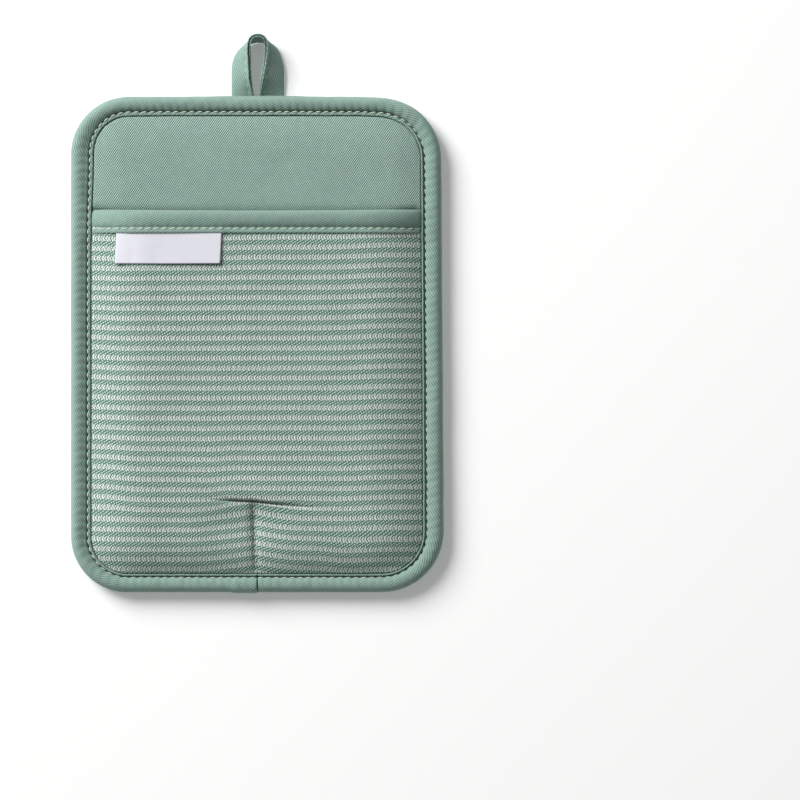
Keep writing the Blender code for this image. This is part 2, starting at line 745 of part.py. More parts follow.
def hanging_loop():
    """Doubled tape from under the binding, over its crown on edge and back."""
    rows = loop_rows()
    base = Vector((LOOP_X, TOP_Y, 0))
    lows = [base + Vector((row.low_x, row.low_y, row.low_z)) * MM for row in rows]
    highs = [base + Vector((row.high_x, row.high_y, row.high_z)) * MM for row in rows]
    middles = [(low + high) / 2 for low, high in zip(lows, highs)]
    bm = bmesh.new()
    sections = []
    for index, row in enumerate(rows):
        behind = middles[max(index - 1, 0)]
        ahead = middles[min(index + 1, len(rows) - 1)]
        points = loop_section(lows[index], highs[index], ahead - behind, row.thick * MM)
        sections.append([bm.verts.new(point) for point in points])
    for first, second in zip(sections, sections[1:]):
        skin(bm, first, second)
    bm.faces.new(sections[0])
    bm.faces.new(sections[-1])
    make_object(bm, "hanging_loop", BINDING_TWILL, leaning=False)


def clear_scene():
    for item in list(bpy.data.objects):
        bpy.data.objects.remove(item, do_unlink=True)


clear_scene()
silicone_back()
padded_panel()
pocket_panel()
pocket_binding()
label()
edge_binding()
hanging_loop()
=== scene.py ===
"""Pot holder with a hand pocket, lying face up on its ribbed silicone back.

Built in the order in which the real one is put together: silicone back, padded panel,
striped pocket with its band and label, hanging loop, edge tape, and the sewing thread.
Metres, +Z up, the loop towards +Y.
"""

import math

import bmesh
import bpy
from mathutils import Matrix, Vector, noise


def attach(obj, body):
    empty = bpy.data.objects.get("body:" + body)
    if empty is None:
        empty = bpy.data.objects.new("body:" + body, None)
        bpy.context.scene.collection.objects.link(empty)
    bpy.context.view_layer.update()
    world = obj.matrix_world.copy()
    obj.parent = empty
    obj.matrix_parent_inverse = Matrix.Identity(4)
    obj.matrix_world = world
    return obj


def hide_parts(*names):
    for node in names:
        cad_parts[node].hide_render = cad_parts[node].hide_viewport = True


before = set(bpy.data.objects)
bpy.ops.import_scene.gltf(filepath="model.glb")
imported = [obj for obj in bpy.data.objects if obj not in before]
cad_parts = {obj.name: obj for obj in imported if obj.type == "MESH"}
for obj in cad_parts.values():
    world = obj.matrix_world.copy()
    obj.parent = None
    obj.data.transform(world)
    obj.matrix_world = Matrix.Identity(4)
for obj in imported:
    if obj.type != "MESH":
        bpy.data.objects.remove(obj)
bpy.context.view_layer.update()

# ---- silicone back ----
# A moulded sheet of soft pale green silicone, 1 mm thick, with 68 straight round ribs
# across it for grip.  It is the bottom layer, and its border is caught under the edge tape.

MM = 0.001
LEFT, RIGHT = -89.2 * MM, 89.0 * MM
FOOT, TOP = -133.3 * MM, 103.5 * MM
MIDDLE_Y = (FOOT + TOP) / 2
LEAN = 1.2 * MM
TAPE_WIDE = {"left": 9.75 * MM, "right": 9.9 * MM, "foot": 8.85 * MM, "top": 9.3 * MM}
CORNER_ROUND = {(1, -1): 29.6 * MM, (1, 1): 30.5 * MM, (-1, 1): 27.7 * MM, (-1, -1): 27.0 * MM}
FLANGE_WIDER = 1.2 * MM
SAG, SAG_X = 0.5 * MM, 64 * MM
LOOP_X = 0.15 * MM
LOOP_HALF = 13.6 * MM

RIBS = 68
RIB_HALF = 1.25 * MM
SHEET_LOW, SHEET_HIGH = 1.5 * MM, 2.5 * MM
SHEET_LIFTED, LAYERS_LIFTED = 0.8 * MM, 0.6 * MM
RIB_TURN = (0.97, 0.88, 0.72, 0.5, 0.25)


def clamped(value):
    return min(max(value, 0.0), 1.0)


def ease(value):
    share = clamped(value)
    return share * share * (3.0 - 2.0 * share)


def mix(start, end, share):
    return start + (end - start) * share


def bell(off, wide):
    """1 at no distance, fading away on both sides."""
    return math.exp(-((off / wide) ** 2))


def within(value, low, high, ramp):
    """1 between low and high, easing to 0 over the ramp on either side."""
    return ease((value - low) / ramp + 1.0) * ease((high - value) / ramp + 1.0)


def bumps(x, y, size, seed=0.0):
    """Soft unevenness of cloth, about -1 to 1, with humps of that size."""
    return noise.noise(Vector((x / size, y / size, seed)))


def sides_at(share, further=0.0):
    """Left, right, foot and top line, moved in by a share of the tape's width and further."""
    left = LEFT + TAPE_WIDE["left"] * share + further
    right = RIGHT - TAPE_WIDE["right"] * share - further
    foot = FOOT + TAPE_WIDE["foot"] * share + further
    top = TOP - TAPE_WIDE["top"] * share - further
    return left, right, foot, top


def corner_at(side, end, share, further=0.0):
    """Centre and radius of a rounded corner at that inset."""
    left, right, foot, top = sides_at(share, further)
    wide = TAPE_WIDE["right" if side > 0 else "left"] + TAPE_WIDE["top" if end > 0 else "foot"]
    radius = max(CORNER_ROUND[side, end] - wide / 2 * share - further, 2 * MM)
    x = right - radius if side > 0 else left + radius
    y = top - radius if end > 0 else foot + radius
    return x, y, radius


def span_at(y, share, further=0.0):
    """Left and right end of a line across the holder."""
    ends = list(sides_at(share, further)[:2])
    for side, end in CORNER_ROUND:
        x, centre_y, radius = corner_at(side, end, share, further)
        beyond = min((y - centre_y) * end, radius)
        if beyond > 0:
            ends[(side + 1) // 2] = x + side * math.sqrt(radius**2 - beyond**2)
    return ends


def inside_by(x, y, share=1.0):
    """How far a point lies inside the outline at that inset."""
    left, right, foot, top = sides_at(share)
    nearest = min(x - left, right - x, y - foot, top - y)
    side = 1 if x > 0 else -1
    end = 1 if y > MIDDLE_Y else -1
    centre_x, centre_y, radius = corner_at(side, end, share)
    if (x - centre_x) * side > 0 and (y - centre_y) * end > 0:
        nearest = min(nearest, radius - math.hypot(x - centre_x, y - centre_y))
    return nearest


def flange_extra(x, y):
    """The flange is wider near the upper left corner."""
    upwards = ease((y - 30 * MM) / (45 * MM)) * ease((100 * MM - y) / (24 * MM))
    return FLANGE_WIDER * upwards * ease((-x - 40 * MM) / (20 * MM))


def lean(x, y):
    """The right edge leans in a little towards the top."""
    return x - LEAN * ease((y - FOOT) / (TOP - FOOT)) * max(x / RIGHT, 0.0)


def sag(x, y):
    """The top edge sags a little before the upper right corner."""
    return y - SAG * bell(x - SAG_X, 9.5 * MM) * ease((y - 75 * MM) / (20 * MM))


def over_loop(x):
    return within(x, LOOP_X - LOOP_HALF, LOOP_X + LOOP_HALF, 2 * MM)


def loop_ends(x, y):
    """1 where the ends of the hanging loop lie across the tape at the top, 0 elsewhere."""
    return over_loop(x) * ease(-inside_by(x, y) / (0.6 * MM)) if y > 0 else 0.0


def cut_flat(columns, rows):
    """A flat rectangle of that many squares, a metre a side, to be laid in place."""
    bm = bmesh.new()
    bmesh.ops.create_grid(bm, x_segments=columns, y_segments=rows, size=0.5)
    return bm


def lay(bm, place):
    """Lays each point of a flat piece; place gives its point and its measures on the cut cloth."""
    cut = bm.loops.layers.uv.new("cut")
    measures = {}
    for vertex in bm.verts:
        point, measure = place(vertex.co.x + 0.5, vertex.co.y + 0.5)
        measures[vertex] = measure
        vertex.co = point
    for face in bm.faces:
        for loop in face.loops:
            loop[cut].uv = measures[loop.vert]


def give_thickness(bm, below):
    """Doubles an upper face downwards; below gives the height under each of its points."""
    doubled = bmesh.ops.extrude_face_region(bm, geom=bm.faces[:], use_keep_orig=True)["geom"]
    for item in doubled:
        if isinstance(item, bmesh.types.BMVert):
            item.co.z = below(item.co)
    bmesh.ops.recalc_face_normals(bm, faces=bm.faces[:])


def add_object(name, data):
    made = bpy.data.objects.new(name, data)
    bpy.context.scene.collection.objects.link(made)
    return made


def make_piece(bm, name, material, replaces=(), leans=True):
    """Turns a finished mesh into a piece of the holder."""
    if leans:
        for vertex in bm.verts:
            vertex.co.x, vertex.co.y = lean(vertex.co.x, vertex.co.y), sag(vertex.co.x, vertex.co.y)
    mesh = bpy.data.meshes.new(name)
    bm.to_mesh(mesh)
    bm.free()
    mesh.shade_smooth()
    mesh.materials.append(material)
    piece = add_object(name, mesh)
    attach(piece, "root")
    if replaces:
        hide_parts(*replaces)
    return piece


def node(tree, kind, inputs=(), out=0, **settings):
    """Adds a shader node with its settings and inputs, and returns one of its outputs."""
    made = tree.nodes.new(kind)
    for setting, value in settings.items():
        setattr(made, setting, value)
    for socket, value in dict(inputs).items():
        if isinstance(value, bpy.types.NodeSocket):
            tree.links.new(value, made.inputs[socket])
        else:
            made.inputs[socket].default_value = value
    return made.outputs[out]


def sum_of(tree, operation, first, second=0.0, third=0.0):
    return node(tree, "ShaderNodeMath", {0: first, 1: second, 2: third}, operation=operation)


def colours_mixed(tree, share, first, second, blend="MIX"):
    def rgba(colour):
        return (*colour, 1.0) if isinstance(colour, tuple) else colour

    inputs = {0: share, 6: rgba(first), 7: rgba(second)}
    return node(tree, "ShaderNodeMix", inputs, out=2, data_type="RGBA", blend_type=blend)


def spots(tree, place, size, detail=2.0, seed=0.0):
    """Soft spots of that size, from 0 to 1."""
    inputs = {"Vector": place, "Scale": 1.0 / size, "Detail": detail, "Roughness": 0.55, "W": seed}
    return node(tree, "ShaderNodeTexNoise", inputs, noise_dimensions="4D")


def stepped(tree, value, low, high, start=0.0, end=1.0):
    """Eases from start to end while the value runs from low to high."""
    inputs = {"Value": value, "From Min": low, "From Max": high, "To Min": start, "To Max": end}
    return node(tree, "ShaderNodeMapRange", inputs, interpolation_type="SMOOTHSTEP")


def blank_material(name, roughness, specular=0.5, sheen=0.0, sheen_roughness=0.5):
    material = bpy.data.materials.new(name)
    material.use_nodes = True
    tree = material.node_tree
    surface = tree.nodes["Principled BSDF"]
    surface.inputs["Roughness"].default_value = roughness
    surface.inputs["Specular IOR Level"].default_value = specular
    surface.inputs["Sheen Weight"].default_value = sheen
    surface.inputs["Sheen Roughness"].default_value = sheen_roughness
    return material, tree, surface


def press_in(tree, surface, height, depth, strength=1.0):
    """Reads a height from 0 to 1 as relief of that depth."""
    inputs = {"Height": height, "Distance": depth, "Strength": strength}
    tree.links.new(node(tree, "ShaderNodeBump", inputs), surface.inputs["Normal"])


def silicone_material():
    material, tree, surface = blank_material("ribbed_silicone", 0.42)
    place = node(tree, "ShaderNodeTexCoord", out=3)
    cloudy = spots(tree, place, 22 * MM)
    dusty = spots(tree, place, 0.8 * MM, detail=4.0, seed=3.0)
    colour = colours_mixed(tree, cloudy, (0.30, 0.46, 0.39), (0.36, 0.52, 0.45))
    colour = colours_mixed(tree, stepped(tree, dusty, 0.62, 0.8, 0.0, 0.35), colour, (0.50, 0.60, 0.56))
    tree.links.new(colour, surface.inputs["Base Color"])
    tree.links.new(stepped(tree, cloudy, 0.3, 0.7, 0.36, 0.5), surface.inputs["Roughness"])
    surface.inputs["Subsurface Weight"].default_value = 0.12
    surface.inputs["Subsurface Radius"].default_value = (2 * MM, 3 * MM, 2.5 * MM)
    surface.inputs["Subsurface Scale"].default_value = 0.6
    press_in(tree, surface, dusty, 0.04 * MM, 0.5)
    return material


def rib_lines():
    """Places along the holder and how far each is out of the sheet, from foot to top."""
    foot, top = sides_at(1.0, 0.3 * MM)[2:]
    pitch = (top - foot) / RIBS
    turn = [(-place, math.sqrt(1 - place**2)) for place in RIB_TURN]
    turn += [(0.0, 1.0)] + [(place, math.sqrt(1 - place**2)) for place in reversed(RIB_TURN)]
    lines = [(sides_at(0.5)[2], 0.0), (sides_at(0.8)[2], 0.0)]
    for rib in range(RIBS):
        crest = foot + pitch * (rib + 0.5)
        lines += [(crest - pitch / 2, 0.0), (crest - RIB_HALF, 0.0)]
        lines += [(crest + place * RIB_HALF, out) for place, out in turn]
        lines.append((crest + RIB_HALF, 0.0))
    return lines + [(top, 0.0), (sides_at(0.8)[3], 0.0), (sides_at(0.5)[3], 0.0)]


def silicone_back():
    lines = rib_lines()
    columns, ends = 30, 7

    def place(across, along):
        y, out = lines[round(along * (len(lines) - 1))]
        column = round(across * columns)
        outer = span_at(y, 0.5)
        inner = span_at(y, 1.0, 1.4 * MM)
        if column <= ends:
            x = mix(outer[0], inner[0], column / ends)
        elif column >= columns - ends:
            x = mix(outer[1], inner[1], (columns - column) / ends)
        else:
            x = mix(inner[0], inner[1], (column - ends) / (columns - 2 * ends))
        lifted = SHEET_LIFTED * loop_ends(x, y)
        ribbed = out * ease((inside_by(x, y) - 0.2 * MM) / (0.9 * MM))
        return Vector((x, y, SHEET_LOW + lifted - SHEET_LOW * ribbed)), (x, y)

    def above(point):
        return SHEET_HIGH + LAYERS_LIFTED * loop_ends(point.x, point.y)

    bm = cut_flat(columns, len(lines) - 1)
    lay(bm, place)
    give_thickness(bm, above)
    make_piece(bm, "silicone_sheet", silicone_material(), ["silicone_back"])


silicone_back()

# ---- padded panel ----
# Cotton twill over a thin filling.  The tape presses it flat at its edge and it puffs up
# gently inside; behind the pocket it is pressed down, and it shows at the top and in the mouth.

MOUTH_Y = TOP - 54.1 * MM
BAND_HIGH = 11.4 * MM
BAND_LOW_Y = MOUTH_Y - BAND_HIGH
BAND_RAMP = 3.5 * MM
PAD_LOW = 2.8 * MM
# Heights of the pad in millimetres: behind the pocket, where the band presses on it, and free
RIM_BEHIND, RIM_AT_BAND, RIM_FREE = 4.6, 3.6, 7.4
CROWN_BEHIND, CROWN_FREE = 6.9, 9.6
STITCH = 3.8 * MM
PANEL_COLOURS = (0.465, 0.64, 0.56), (0.08, 0.145, 0.12)


def band_share(y):
    """1 where the band crosses the holder, 0 away from it."""
    return within(y, BAND_LOW_Y - MM, MOUTH_Y + MM, BAND_RAMP)


def pressed(off_edge):
    """How far the seam of the tape presses a layer down, in millimetres."""
    return 0.9 * ease(-off_edge / (1.3 * MM))


def under_flange(off_edge):
    """1 under the flange of the tape, 0 from half a millimetre inside its edge."""
    return ease((0.45 * MM - off_edge) / (0.4 * MM))


def pad_height(x, y):
    """Top of the padded panel."""
    off_edge = inside_by(x, y) - flange_extra(x, y)
    inside = max(off_edge, 0.0)
    free = ease((y - MOUTH_Y + MM) / (1.5 * MM))
    behind = mix(RIM_BEHIND, RIM_AT_BAND, band_share(y))
    rim = mix(behind, RIM_FREE - 0.9 * under_flange(off_edge), free) - pressed(off_edge)
    crown = mix(CROWN_BEHIND, CROWN_FREE, ease((y - MOUTH_Y + 5.5 * MM) / (8 * MM)))
    rise = 1.0 - (1.0 - clamped(inside / (20 * MM))) ** 2.3
    gape = 0.3 + 1.3 * ease((abs(x + 2 * MM) - 48 * MM) / (14 * MM)) * ease(inside / (3 * MM))
    rim -= gape * bell(max(y - MOUTH_Y, 0.0), 1.8 * MM)
    soft = ease(inside / (12 * MM)) * (0.22 * bumps(x, y, 21 * MM, 2.0) + 0.14 * bumps(x, y, 9 * MM, 5.0))
    along = x if TOP - y < 32 * MM else y
    pucker = 0.11 * math.cos(math.tau * along / STITCH) * math.exp(-inside / (2.2 * MM))
    return (mix(rim, crown, rise) + soft + pucker) * MM


def thread_lines(tree, cut, angle, spacing, wander=1.0, feature=1.0):
    """Ridges of threads that run at an angle to the cut: 1 on their backs, 0 between them."""
    turn = (0.0, 0.0, math.pi / 2 - math.radians(angle))
    turned = node(tree, "ShaderNodeMapping", {"Vector": cut, "Rotation": turn})
    inputs = {
        "Vector": turned,
        "Scale": math.tau / 20 / spacing,
        "Distortion": wander,
        "Detail": 2.0,
        "Detail Scale": feature,
        "Detail Roughness": 0.5,
    }
    return node(tree, "ShaderNodeTexWave", inputs, out=1, wave_type="BANDS", bands_direction="X")


def tinted(tree, cut, colour, size, seed, low, high, strength, tint):
    """Tints a colour in spots of that size, where their noise runs from low to high."""
    patchy = stepped(tree, spots(tree, cut, size, seed=seed), low, high, 0.0, strength)
    return colours_mixed(tree, patchy, colour, tint, "MULTIPLY")


# Uneven dye: size of the spots, seed, low and high, strength, tint
TWILL_TINTS = (
    (2.3 * MM, 4.0, 0.45, 0.75, 0.4, (0.86, 1.0, 1.14)),
    (2.9 * MM, 7.0, 0.5, 0.8, 0.4, (1.12, 0.96, 1.02)),
    (3.4 * MM, 1.0, 0.35, 0.7, 0.4, (1.2, 1.18, 1.14)),
    (14 * MM, 9.0, 0.3, 0.7, 0.25, (0.9, 0.9, 0.92)),
    (0.8 * MM, 11.0, 0.52, 0.7, 0.5, (1.12, 1.04, 0.84)),
    (0.9 * MM, 13.0, 0.52, 0.7, 0.5, (0.86, 0.99, 1.12)),
)


def twill_material(name, light, dark, angle, spacing, turn, dash, broken, relief):
    """Cotton twill: slanting ridges, broken into floats by lines at a turn from them, and faded spots."""
    material, tree, surface = blank_material(name, 0.88, 0.25, sheen=0.12, sheen_roughness=0.45)
    cut = node(tree, "ShaderNodeUVMap", uv_map="cut")
    ridges = thread_lines(tree, cut, angle, spacing, 0.7, 0.6)
    floats = thread_lines(tree, cut, angle + turn, dash, 1.0, 0.8)
    fibres = spots(tree, cut, 0.45 * MM, detail=3.0)
    weave = sum_of(tree, "MULTIPLY", ridges, sum_of(tree, "MULTIPLY_ADD", floats, broken, 1.0 - broken))
    weave = sum_of(tree, "MULTIPLY_ADD", fibres, 0.5, sum_of(tree, "MULTIPLY", weave, 0.8))
    weave = stepped(tree, weave, 0.22, 0.88)
    colour = colours_mixed(tree, weave, dark, light)
    for tint in TWILL_TINTS:
        colour = tinted(tree, cut, colour, *tint)
    tree.links.new(colour, surface.inputs["Base Color"])
    tree.links.new(stepped(tree, fibres, 0.2, 0.8, 0.8, 0.98), surface.inputs["Roughness"])
    press_in(tree, surface, weave, relief, 0.8)
    return material


def padded_panel():
    columns, rows = 150, 186
    hidden, fine = 4, 12

    def spread(step, steps, outer, edge, inner):
        """Places closer together under the tape and just inside its edge."""
        end, near = (1, steps - step) if step > steps / 2 else (0, step)
        if near <= hidden:
            return mix(outer[end], edge[end], near / hidden)
        if near <= fine:
            return mix(edge[end], inner[end], (near - hidden) / (fine - hidden))
        return mix(inner[0], inner[1], (step - fine) / (steps - 2 * fine))

    def place(across, along):
        insets = (0.45, 0.0), (1.0, 0.0), (1.0, 2.4 * MM)
        y = spread(round(along * rows), rows, *(sides_at(*inset)[2:] for inset in insets))
        x = spread(round(across * columns), columns, *(span_at(y, *inset) for inset in insets))
        return Vector((x, y, pad_height(x, y))), (x, y)

    def below(point):
        return PAD_LOW + LAYERS_LIFTED * loop_ends(point.x, point.y)

    bm = cut_flat(columns, rows)
    lay(bm, place)
    give_thickness(bm, below)
    twill = twill_material("panel_twill", *PANEL_COLOURS, 56.8, 0.871 * MM, 74, 1.2 * MM, 0.2, 0.2 * MM)
    panel = make_piece(bm, "quilted_panel", twill, ["padded_panel"])


padded_panel()

# ---- striped pocket ----
# Thick dobby cotton with green and white stripes across it, sewn in at the sides and the foot.
# A tuck at the middle of the foot makes room for the hand: an upright seam in a soft valley,
# under a short fold that hangs over it.

POCKET_THICK = 1.3 * MM
# Height of the pocket's middle surface at its rim, and its swell above that, in millimetres
POCKET_RIM, POCKET_SWELL = 6.6, 8.4
POCKET_TOP_Y = MOUTH_Y - 1.5 * MM
EDGE_NEAR, FOLD_NEAR = 1.8 * MM, 3.2 * MM
STRIPE = 4.76 * MM
# The first stripe and the pitch at the left and at the right, where the stripes spread a little
COUNTED_FROM, COUNTED_WIDE = -75 * MM, 152.6 * MM
FIRST_LEFT, FIRST_RIGHT = 35.0 * MM, 36.5 * MM
PITCH_LEFT, PITCH_RIGHT = 4.71 * MM, 4.815 * MM
SEAM_HIGH = Vector((-2.05 * MM, -88.65 * MM))
SEAM_LOW = Vector((-0.7 * MM, -124.6 * MM))
FOLD_SLOPE_LEFT, FOLD_SLOPE_RIGHT = -0.02, -0.115
TUCK_LEFT, TUCK_RIGHT = 13 * MM, 20 * MM
GATHER_LEFT, GATHER_RIGHT = 31.5 * MM, 34.5 * MM
GATHER = 3.5 * MM
FOLD_HANGS = 0.6 * MM
# Depths of the tuck in millimetres: its valley, the crease under the fold, its seam above and below
VALLEY_DEEP, CREASE_DEEP = 5.0, 2.8
SEAM_DEEP_ABOVE, SEAM_DEEP_BELOW = 1.2, 3.4
FOLD_PUFF, FOLD_TUCKED = 0.8, 0.6


def up_the_seam(y):
    return clamped((y - SEAM_LOW.y) / (SEAM_HIGH.y - SEAM_LOW.y))


def seam_x(y):
    return mix(SEAM_LOW.x, SEAM_HIGH.x, up_the_seam(y))


def fold_y(x):
    off = min(max(x - SEAM_HIGH.x, -20 * MM), 26 * MM)
    return SEAM_HIGH.y + off * (FOLD_SLOPE_RIGHT if off > 0 else FOLD_SLOPE_LEFT)


def across_at(x, y):
    """Place between the sewn sides, from -1 to 1."""
    left, right = span_at(y, 1.0)
    middle = seam_x(y)
    return (x - middle) / (right - middle if x > middle else middle - left)


def fold_reach(x, y):
    """How much of the fold is left at that distance from the seam."""
    off = x - seam_x(y)
    return bell(off, TUCK_RIGHT if off > 0 else TUCK_LEFT)


def tuck_height(x, y):
    """What the tuck adds to the pocket's height, in millimetres."""
    off = x - seam_x(y)
    above = y - fold_y(x)
    foot = up_the_seam(y)
    tight = fold_reach(x, y)
    under = 1.0 - ease(above / mix(12 * MM, 1.2 * MM, ease(2 * tight)) + 0.3)
    valley = math.exp(-((off / (22 * MM)) ** 1.4)) if off > 0 else bell(off, 36 * MM)
    below = max(-above, 0.0)
    drop = VALLEY_DEEP * valley * foot**0.8 * mix(0.2, 1.0, ease(below / (16 * MM)))
    seam = math.exp(-abs(off) / (4.0 * MM if off > 0 else 1.5 * MM)) * foot**0.4
    seam *= mix(SEAM_DEEP_ABOVE, SEAM_DEEP_BELOW, ease(below / (9 * MM)))
    puff = FOLD_PUFF * bell(off, 18 * MM) * bell(above - 4.5 * MM, 9 * MM)
    crease = CREASE_DEEP * tight * bell(above + 0.75 * MM, 0.6 * MM)
    tucked_in = FOLD_TUCKED * tight * math.exp(-max(above, 0.0) / (2.4 * MM)) * (0.5 if off > 0 else 1.0)
    return (puff - tucked_in) * (1.0 - under) - (drop + seam) * under - crease


def pocket_middle(across, x, y):
    """Height of the middle of the pocket's cloth, in millimetres."""
    off_edge = inside_by(x, y)
    rim = POCKET_RIM - 0.8 * under_flange(off_edge) - pressed(off_edge)
    sides = 1.0 - (1.0 - clamped((1.0 - abs(across)) / 0.38)) ** 2.3
    foot = 1.0 - (1.0 - clamped((y - sides_at(1.0)[2]) / (28 * MM))) ** 2.8
    free = ease((BAND_LOW_Y - y) / (18 * MM))
    soft = sides * foot * free * (0.45 * bumps(x, y, 34 * MM, 1.0) + 0.2 * bumps(x, y, 13 * MM, 6.0))
    return rim + POCKET_SWELL * sides * foot + tuck_height(x, y) * sides + soft


def stripe_sag(x, y):
    """How much higher than straight and even the stripes run."""
    lower = ease((-89.0 * MM - y) / (12 * MM)) * ease((34.0 * MM - x) / (24 * MM))
    left = ease((-32 * MM - y) / (57 * MM)) * ease((x + 75 * MM) / (21 * MM))
    left *= ease((-10 * MM - x) / (14 * MM))
    raised = 0.86 * ease((x - 37 * MM) / (28 * MM)) * mix(0.7, 1.0, ease((35 * MM - y) / (70 * MM)))
    raised += 0.8 * ease((-63 * MM - x) / (17 * MM)) * ease((y + 70 * MM) / (52 * MM))
    raised -= 1.0 * ease((-101 * MM - y) / (9 * MM)) * ease((x - 25 * MM) / (20 * MM))
    return (raised - 1.2 * max(lower, left)) * MM


def stripe_count(x, y):
    """Stripes counted down from the band, on the cloth before it was tucked."""
    share = (x - COUNTED_FROM) / COUNTED_WIDE
    off = x - seam_x(y)
    reach = GATHER_RIGHT if off > 0 else GATHER_LEFT
    drawn = GATHER * max(1.0 - abs(off) / reach, 0.0) ** 1.6
    spread = mix(14 * MM, 1.4 * MM, ease(1.6 * fold_reach(x, y) - 0.3))
    below = 1.0 - ease((y - fold_y(x)) / spread + 0.5)
    wavy = 0.35 * MM * bumps(x, y, 45 * MM, 11.0)
    start = mix(FIRST_LEFT, FIRST_RIGHT, share)
    return (start - y + drawn * below + wavy + stripe_sag(x, y)) / mix(PITCH_LEFT, PITCH_RIGHT, share)


def striped_cloth():
    """Dobby weave: in the green stripes slanting floats, in the white ones small chevrons."""
    material, tree, surface = blank_material("striped_cloth", 0.9, 0.2, sheen=0.12)
    cut = node(tree, "ShaderNodeUVMap", uv_map="cut")
    parts = tree.nodes.new("ShaderNodeSeparateXYZ")
    tree.links.new(cut, parts.inputs[0])
    stretched = sum_of(tree, "MULTIPLY_ADD", spots(tree, cut, 6 * MM, seed=2.0), 0.06, -0.03)
    count = sum_of(tree, "ADD", sum_of(tree, "DIVIDE", parts.outputs[1], STRIPE), stretched)
    local = sum_of(tree, "SUBTRACT", sum_of(tree, "FRACT", sum_of(tree, "ADD", count, 0.5)), 0.5)
    distance = sum_of(tree, "ABSOLUTE", local)
    fibres = spots(tree, cut, 0.45 * MM, detail=3.0)

    floats = thread_lines(tree, cut, 31, 1.2 * MM, 1.5, 1.0)
    breaks = thread_lines(tree, cut, 104, 1.2 * MM, 1.4, 1.0)
    slanted = sum_of(tree, "MULTIPLY", floats, sum_of(tree, "MULTIPLY_ADD", breaks, 0.75, 0.25))
    upper = stepped(tree, local, -0.04, 0.04)
    lower = sum_of(tree, "SUBTRACT", 1.0, upper)
    rising = thread_lines(tree, cut, 58, 1.12 * MM, 2.2, 1.6)
    falling = thread_lines(tree, cut, 122, 1.12 * MM, 2.2, 1.6)
    hatched = sum_of(tree, "MULTIPLY_ADD", falling, lower, sum_of(tree, "MULTIPLY", rising, upper))
    paired = thread_lines(tree, cut, 90, 2.4 * MM, 2.0, 1.0)
    chevrons = sum_of(tree, "MULTIPLY_ADD", paired, 0.16, sum_of(tree, "MULTIPLY", hatched, 0.58))

    green_weave = stepped(tree, sum_of(tree, "MULTIPLY_ADD", fibres, 0.5, slanted), 0.22, 0.95)
    white_weave = stepped(tree, sum_of(tree, "MULTIPLY_ADD", fibres, 0.95, chevrons), 0.42, 1.22)
    ragged = sum_of(tree, "MULTIPLY_ADD", sum_of(tree, "SUBTRACT", fibres, white_weave), 0.07, distance)
    white = stepped(tree, ragged, 0.17, 0.265, 1.0, 0.0)
    green = colours_mixed(tree, green_weave, (0.085, 0.165, 0.13), (0.52, 0.70, 0.61))
    white_colour = colours_mixed(tree, white_weave, (0.09, 0.158, 0.13), (0.872, 0.96, 0.905))
    white_colour = tinted(tree, cut, white_colour, 1.6 * MM, 5.0, 0.5, 0.75, 0.5, (1.06, 0.98, 0.98))
    green = tinted(tree, cut, green, 2.6 * MM, 8.0, 0.45, 0.75, 0.4, (0.9, 1.06, 1.04))
    foot_dots = sum_of(tree, "MULTIPLY", thread_lines(tree, cut, 90, 2.39 * MM, 0.5, 0.6), 0.6)
    low_edge = node(tree, "ShaderNodeMath", {0: local, 1: -0.285, 2: 0.045}, operation="COMPARE")
    green = colours_mixed(tree, sum_of(tree, "MULTIPLY", foot_dots, low_edge), green, (0.10, 0.19, 0.155))
    colour = colours_mixed(tree, white, green, white_colour)
    tree.links.new(colour, surface.inputs["Base Color"])
    tree.links.new(stepped(tree, fibres, 0.2, 0.8, 0.82, 0.98), surface.inputs["Roughness"])
    over_green = sum_of(tree, "SUBTRACT", white_weave, green_weave)
    relief = sum_of(tree, "MULTIPLY_ADD", white, over_green, green_weave)
    press_in(tree, surface, relief, 0.3 * MM, 0.85)
    return material


def pocket_lines():
    """Rows of the pocket's cloth, closer together at the fold of the tuck."""
    foot, edge = sides_at(0.5)[2], sides_at(1.0)[2]
    under_fold, over_fold = SEAM_HIGH.y - FOLD_NEAR, SEAM_HIGH.y + FOLD_NEAR
    stops = (foot, edge, edge + EDGE_NEAR, under_fold, over_fold, POCKET_TOP_Y)
    lines = []
    for low, high, steps in zip(stops, stops[1:], (5, 6, 42, 24, 164)):
        lines += [mix(low, high, step / steps) for step in range(steps)]
    return lines + [POCKET_TOP_Y]


